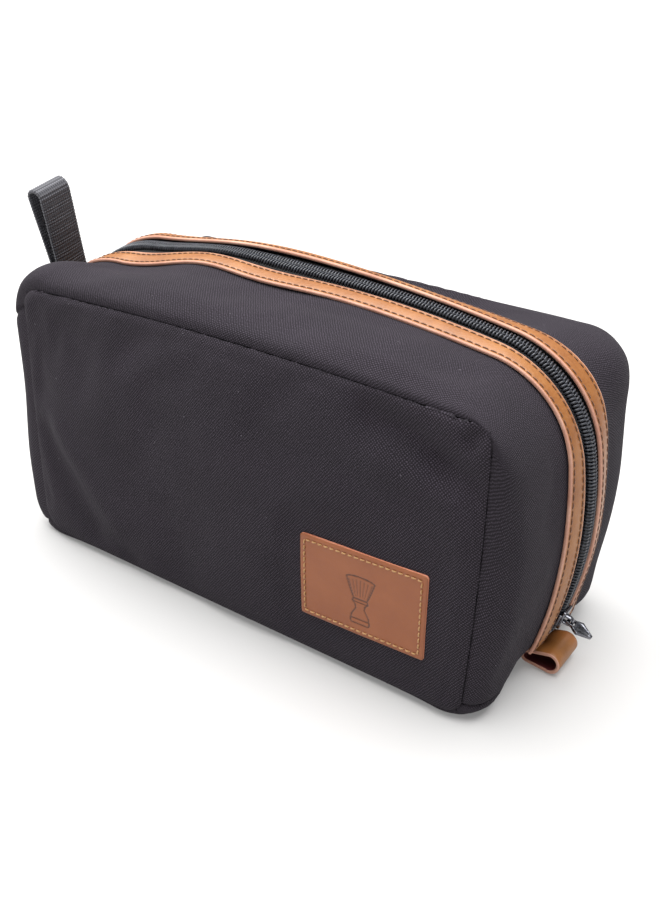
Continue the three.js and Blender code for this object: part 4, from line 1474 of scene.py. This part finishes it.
@dataclass
class Strap:
    """A strap doubled back on itself into a loop, its two ends sewn together at the root."""

    name: str
    end: tuple
    end_radius: float
    root: tuple
    root_radius: float
    thick: float
    width: float
    step: float
    rib: float = 0.0
    rib_pitch: float = 1.4
    belly: float = 0.0

    def _path(self) -> tuple:
        """Centre line round both circles, evenly stepped, and its outward directions."""
        big, small = np.array(self.end, float), np.array(self.root, float)
        br, sr = self.end_radius - self.thick / 2, max(self.root_radius - self.thick / 2, 0.3)
        gap = small - big
        axis, open_by = math.atan2(gap[1], gap[0]), math.acos((br - sr) / np.hypot(*gap))
        arcs = [(big, br, axis + open_by, axis + 2 * math.pi - open_by, 60),
                (small, sr, axis - open_by, axis + open_by, 12)]
        rough = np.concatenate([c + r * np.stack([np.cos(a), np.sin(a)], -1)
                                for c, r, p, q, n in arcs for a in [np.linspace(p, q, n)]])
        rough = np.concatenate([rough, rough[:1]])
        run = np.concatenate([[0], np.cumsum(np.linalg.norm(np.diff(rough, axis=0), axis=1))])
        count = round(run[-1] / self.step)
        s = np.linspace(0, run[-1], count, endpoint=False)
        path = np.stack([np.interp(s, run, rough[:, k]) for k in (0, 1)], -1)
        way = np.roll(path, -1, axis=0) - np.roll(path, 1, axis=0)
        way /= np.linalg.norm(way, axis=1, keepdims=True)
        out = np.stack([way[:, 1], -way[:, 0]], -1)
        return path, out, s

    def build(self, place: Callable, paints: Sequence[int]) -> bpy.types.Object:
        """Makes the loop.

        Args:
            place: turns points of the strap's frame (out, across, up) to the bag's.
            paints: material numbers of the outer face, the edges and the inner face.

        Returns:
            The object.
        """
        path, out, s = self._path()
        h, w = self.thick / 2, self.width / 2
        spots = 15
        face = np.linspace(-1, 1, spots)
        across = np.concatenate([face * (w - 0.35), [w], face[::-1] * (w - 0.35), [-w]])
        level = np.concatenate([np.full(spots, h), [0], np.full(spots, -h), [0]])
        paint = ([paints[0]] * (spots - 1) + [paints[1]] * 2) + (
            [paints[2]] * (spots - 1) + [paints[1]] * 2)
        ribs = self.rib * np.sin(2 * math.pi * s / self.rib_pitch)
        lift = level[None] + np.sign(level)[None] * ribs[:, None]
        reach = np.hypot(*(np.array(self.end) - self.root))
        high = np.linalg.norm(path - np.array(self.root), axis=1) / reach
        swell = self.belly * np.sin(math.pi * np.clip(high, 0, 1))
        bow = swell[:, None] * (1 - (across / w) ** 2)[None]
        sway = 1 + 0.012 * np.sin(s / 9)[:, None]
        xz = path[:, None] + out[:, None] * (lift + bow)[..., None]
        points = np.stack([xz[..., 0], across[None] * sway, xz[..., 1]], -1)
        count, size = points.shape[:2]
        faces = grid_faces(count + 1, size, wrap=True) % (count * size)
        i, j = np.divmod(np.arange(count * size), size)
        uv = np.stack([np.stack([(i + a) * self.step, (j + b) % (spots + 2) / (spots - 1) * self.width], -1)
                       for a, b in ((0, 0), (1, 0), (1, 1), (0, 1))], 1) * MM
        marks = [paint[k] for k in j]
        obj = make_object(self.name, place(points), faces.tolist(), uv.reshape(-1, 2), marks)
        turn_outward(obj)
        return obj


@dataclass
class Loops:
    """The webbing hanging loop on the left end and the leather tab under the slider."""

    handle_root: tuple = (-139.3, -9.5, 109.5)
    handle_lean: float = 13.5
    handle: Strap = field(default_factory=lambda: Strap(
        "webbing_hanging_loop", (0.3, 56.9), 4.8, (0, 0), 1.6, 1.35, 18.6, 0.28, 0.15, 1.7, 0.5))
    tab: Strap = field(default_factory=lambda: Strap(
        "leather_end_tab", (136.2, 5.9), 5.1, (126.6, 5.3), 3.4, 1.6, 20, 0.5))

    def build(self, finishes: Finishes) -> None:
        """Makes both loops."""
        lean = np.array(Matrix.Rotation(math.radians(self.handle_lean), 3, "X"))
        obj = self.handle.build(lambda p: p @ lean.T + np.array(self.handle_root), (0, 0, 0))
        dress(obj, finishes.webbing)
        settle(obj, "webbing", "handle", "handle_loop")
        obj = self.tab.build(lambda p: p, (0, 1, 2))
        dress(obj, finishes.leather, finishes.cut_edge, finishes.tab_inside)
        settle(obj, "leather", "tab", "tab_loop")


# ---- Patch ------------------------------------------------------------------------------------------


@dataclass
class Patch:
    """Leather patch sewn on the front, pressed with a plain shaving-brush mark."""

    x: float = 73.7
    z: float = 44.2
    width: float = 58.8
    height: float = 39.6
    corner: float = 1.5
    turn_deg: float = 1.2
    thick: float = 1.5
    cell: float = 0.42
    margin: float = 2.3
    pitch: float = 2.9
    press: float = 0.28

    def _mark(self, v: Array, u: Array) -> Array:
        """Depth share of the pressed brush at places across (v) and up (u) from the middle."""
        def line(gap: Array, half: float) -> Array:
            """Depth share of a pressed line: 1 within half of its middle, soft at its sides."""
            return np.clip((half - np.abs(gap)) / 0.22 + 0.5, 0, 1)

        up = u + 1.2
        knot = 3.0 + 3.6 * np.clip(up / 9.5, 0, 1) ** 0.8
        crown = 9.0 + 1.6 * np.sqrt(np.clip(1 - (v / 6.8) ** 2, 0, 1))
        inside = (np.abs(v) < knot) & (up > 0) & (up < crown)
        rim = np.where((up > -0.1) & (up < crown + 0.2), line(np.abs(v) - knot, 0.32), 0)
        rim = np.maximum(rim, np.where(np.abs(v) < 6.7, line(up - crown, 0.32), 0))
        hair = np.where(inside, line(((v / knot) * 3.5 + 0.5) % 1 - 0.5, 0.13) * (up > 1.2)
                        * (up < crown - 1.4), 0)
        waist = np.interp(up, [-12.2, -11.2, -8.0, -4.6, -2.6, -1.6, -0.2],
                          [4.0, 4.5, 4.0, 2.0, 2.4, 3.6, 3.4], left=-1, right=-1)
        hold = np.where(waist > 0, line(np.abs(v) - waist, 0.32), 0)
        bands = sum(np.where(np.abs(v) < w, line(up - at, 0.28), 0)
                    for at, w in ((-12.2, 4.1), (-1.6, 3.5), (-0.1, 3.3), (-9.9, 4.2)))
        return np.clip(rim + hair * 0.7 + hold + bands, 0, 1)

    def _spot(self, v: Array, u: Array, lift: Array) -> Array:
        """Point of the patch's plan, in the bag's frame, at a height over the panel."""
        a = math.radians(self.turn_deg)
        x = self.x + v * math.cos(a) - u * math.sin(a)
        z = self.z + v * math.sin(a) + u * math.cos(a)
        y = WALL.panel_y(x, z) + lift
        return np.stack([x, -y, z], -1)

    def _outline(self, inset: float, count: int) -> tuple:
        """Evenly spaced places round a rounded rectangle, set in from the patch's edge."""
        w, h = self.width / 2 - inset, self.height / 2 - inset
        r = max(self.corner - inset * 0.6, 0.4)
        arcs = [(w - r, -h + r, -90), (w - r, h - r, 0), (-w + r, h - r, 90), (-w + r, -h + r, 180)]
        rough = np.concatenate([np.array([cx, cz]) + r * np.stack([np.cos(a), np.sin(a)], -1)
                                for cx, cz, d in arcs
                                for a in [np.radians(np.linspace(d, d + 90, 9))]])
        rough = np.concatenate([rough, rough[:1]])
        run = np.concatenate([[0], np.cumsum(np.linalg.norm(np.diff(rough, axis=0), axis=1))])
        s = np.linspace(0, run[-1], count, endpoint=False)
        return np.interp(s, run, rough[:, 0]), np.interp(s, run, rough[:, 1])

    def build(self, finishes: Finishes) -> None:
        """Makes the leather, its pressed mark and its stitching."""
        columns, rows = round(self.width / self.cell) + 1, round(self.height / self.cell) + 1
        p = np.linspace(-1, 1, columns)[None] * np.ones((rows, 1))
        q = np.linspace(-1, 1, rows)[:, None] * np.ones((1, columns))
        w, h = self.width / 2, self.height / 2
        v, u = p * w, q * h
        dx = np.clip(np.abs(v) - (w - self.corner), 0, None)
        dz = np.clip(np.abs(u) - (h - self.corner), 0, None)
        far = np.hypot(dx, dz)
        over = np.maximum(np.maximum(dx, dz), 1e-9)
        pull = np.where(far > 1e-6, over / np.maximum(far, 1e-9), 1)
        v = np.sign(v) * (np.abs(v) - dx + dx * pull)
        u = np.sign(u) * (np.abs(u) - dz + dz * pull)
        inset = np.minimum(w - np.abs(v), h - np.abs(u))
        mark = self._mark(v, u + 0.6)
        groove = np.exp(-((inset - self.margin) / 0.5) ** 2) * 0.16
        edge = 0.5 * np.exp(-(inset / 0.45) ** 2)
        spread = np.stack([v, u, np.zeros_like(v)], -1)
        top = self.thick - edge - groove - mark * self.press + waves(spread, 24, 71) * 0.06
        front = self._spot(v, u, top)
        back = self._spot(v, u, np.zeros_like(v))
        size = rows * columns
        face = grid_faces(rows, columns)
        ring = ([(0, j) for j in range(columns)] + [(i, columns - 1) for i in range(1, rows)]
                + [(rows - 1, j) for j in range(columns - 2, -1, -1)]
                + [(i, 0) for i in range(rows - 2, 0, -1)])
        loop = [i * columns + j for i, j in ring]
        wall = [[a, b, b + size, a + size] for a, b in zip(loop, loop[1:] + loop[:1])]
        faces = face.tolist() + (face[:, ::-1] + size).tolist() + wall
        paint = [0] * len(face) * 2 + [1] * len(wall)
        points = np.concatenate([front.reshape(-1, 3), back.reshape(-1, 3)])
        obj = make_object("brush_mark_patch", points, faces, None, paint)
        press = obj.data.attributes.new("pressed", "FLOAT", "POINT")
        depths = np.concatenate([mark.ravel(), np.zeros(size)])
        press.data.foreach_set("value", depths.astype(np.float32))
        turn_outward(obj)
        smooth_edges(obj, 55)
        dress(obj, finishes.patch, finishes.patch_edge)
        settle(obj, "patch_leather", "front_shell", "patch")
        self._stitch(finishes)

    def _stitch(self, finishes: Finishes) -> None:
        """Khaki stitches all round, inside the edge."""
        rim = 2 * (self.width + self.height - 4 * self.margin)
        count = round(rim / self.pitch)
        v, u = self._outline(self.margin, count * 8)
        lift = np.full(count, self.thick - 0.05)
        a = self._spot(v[1::8], u[1::8], lift)
        b = self._spot(v[7::8], u[7::8], lift)
        up = np.broadcast_to(np.array([0.0, -1.0, 0.0]), a.shape)
        row = threads("patch_stitching", a, b, up, 0.36, 0.3)
        dress(row, finishes.khaki_thread)
        settle(row, "patch_leather", "front_shell")


# ---- Studio -----------------------------------------------------------------------------------------


@dataclass
class Studio:
    """Pale sweep, camera and soft lights."""

    floor_glow: float = 0.17
    camera_at: tuple = (0.2489, -0.3514, 0.2801)
    camera_axes: tuple = ((0.821, 0.570, 0.033), (-0.2826, 0.3556, 0.891), (0.496, -0.741, 0.453))
    lens: float = 40.64
    sensor: float = 36.0

    def _camera(self) -> None:
        """The camera, at the bag's own viewing angle."""
        data = bpy.data.cameras.new("camera")
        data.lens, data.sensor_width = self.lens, self.sensor
        data.clip_start, data.clip_end = 0.01, 60
        camera = bpy.data.objects.new("camera", data)
        bpy.context.scene.collection.objects.link(camera)
        x, _, z = (np.array(axis) / np.linalg.norm(axis) for axis in self.camera_axes)
        y = np.cross(z, x)
        x = np.cross(y, z)
        turn = Matrix(np.stack([x, y / np.linalg.norm(y), z], 1).tolist()).to_4x4()
        camera.matrix_world = Matrix.Translation(self.camera_at) @ turn
        bpy.context.scene.camera = camera

    @staticmethod
    def _lamp(name: str, at: Sequence[float], aim: Sequence[float], size: float, power: float) -> None:
        """A square soft light aimed at a point."""
        data = bpy.data.lights.new(name, "AREA")
        data.size, data.energy = size, power
        lamp = bpy.data.objects.new(name, data)
        bpy.context.scene.collection.objects.link(lamp)
        way = Matrix.Translation(at).to_translation() - Matrix.Translation(aim).to_translation()
        lamp.matrix_world = Matrix.Translation(at) @ way.to_track_quat("Z", "Y").to_matrix().to_4x4()

    def build(self) -> None:
        """Makes the floor, the camera and the lights."""
        bpy.ops.object.select_all(action="DESELECT")
        bpy.ops.mesh.primitive_plane_add(size=40, location=(0, 0, 0))
        floor = bpy.context.active_object
        floor.name = "paper_sweep"
        s = Shade("white_paper", 0.9)
        paper = s.ramp(s.noise(s.mapped("Object"), 3, 2), [(0.3, "#b0afae"), (0.7, "#b4b3b2")])
        s.set(Base_Color=paper, Emission_Color="#ffffff", Emission_Strength=self.floor_glow)
        dress(floor, s.material)
        self._camera()
        self._lamp("front_fill", (-0.35, -1.2, 0.7), (0, 0, 0.06), 0.8, 3)
        self._lamp("left_key", (-0.9, 0.1, 1.0), (0, 0, 0.1), 0.6, 6)
        sun = bpy.data.objects.new("ceiling", bpy.data.lights.new("ceiling", "SUN"))
        sun.data.energy, sun.data.angle = 6.6, math.radians(70)
        way = Matrix.Translation((-0.1, 0.08, 1)).to_translation()
        sun.matrix_world = way.to_track_quat("Z", "Y").to_matrix().to_4x4()
        bpy.context.scene.collection.objects.link(sun)
        bpy.context.scene.view_settings.view_transform = "Standard"
        world = bpy.data.worlds.new("white_room")
        bpy.context.scene.world = world
        world.use_nodes = True
        sky = world.node_tree.nodes["Background"]
        sky.inputs["Color"].default_value = (1, 1, 1, 1)
        sky.inputs["Strength"].default_value = 0.24


def main() -> None:
    """Builds the bag round its frame."""
    Studio().build()
    finishes = Finishes.make()
    front_folds = (
        Fold((-98, 66), (-66, 26), 9, 2.3),
        Fold((-110, 60), (-82, 18), 9, -1.8),
        Fold((-88, 44), (-60, 10), 9, -1.2),
        Fold((-96, 106), (-80, 100), 11, -1.3),
        Fold((-46, 86), (-30, 80), 13, -1.2),
        Fold((72, 121), (100, 112), 8, -2.8),
        Fold((100, 112), (117, 108), 6, -1.9),
        Fold((80, 104), (106, 98), 10, 2.0),
        Fold((119, 131), (113, 124), 4, -2.4),
        Fold((-40, 96), (30, 70), 20, 0.9),
        Fold((-20, 40), (40, 18), 14, -0.9),
        Fold((-118, 110), (-112, 84), 8, -1.4),
    )
    back_folds = (Fold((-90, 30), (-40, 22), 12, -0.7), Fold((60, 100), (95, 80), 14, 0.8))
    Panel(Side.FRONT, front_folds).build(finishes)
    Panel(Side.BACK, back_folds, seed=7, lining_inset=5.5).build(finishes)
    Shell().build(finishes)
    Zip(Side.BACK).build(finishes)
    Zip(Side.FRONT).build(finishes)
    Slider().build(finishes)
    Loops().build(finishes)
    Patch().build(finishes)


if __name__ == "__main__":
    logging.basicConfig(level=logging.INFO)
    main()
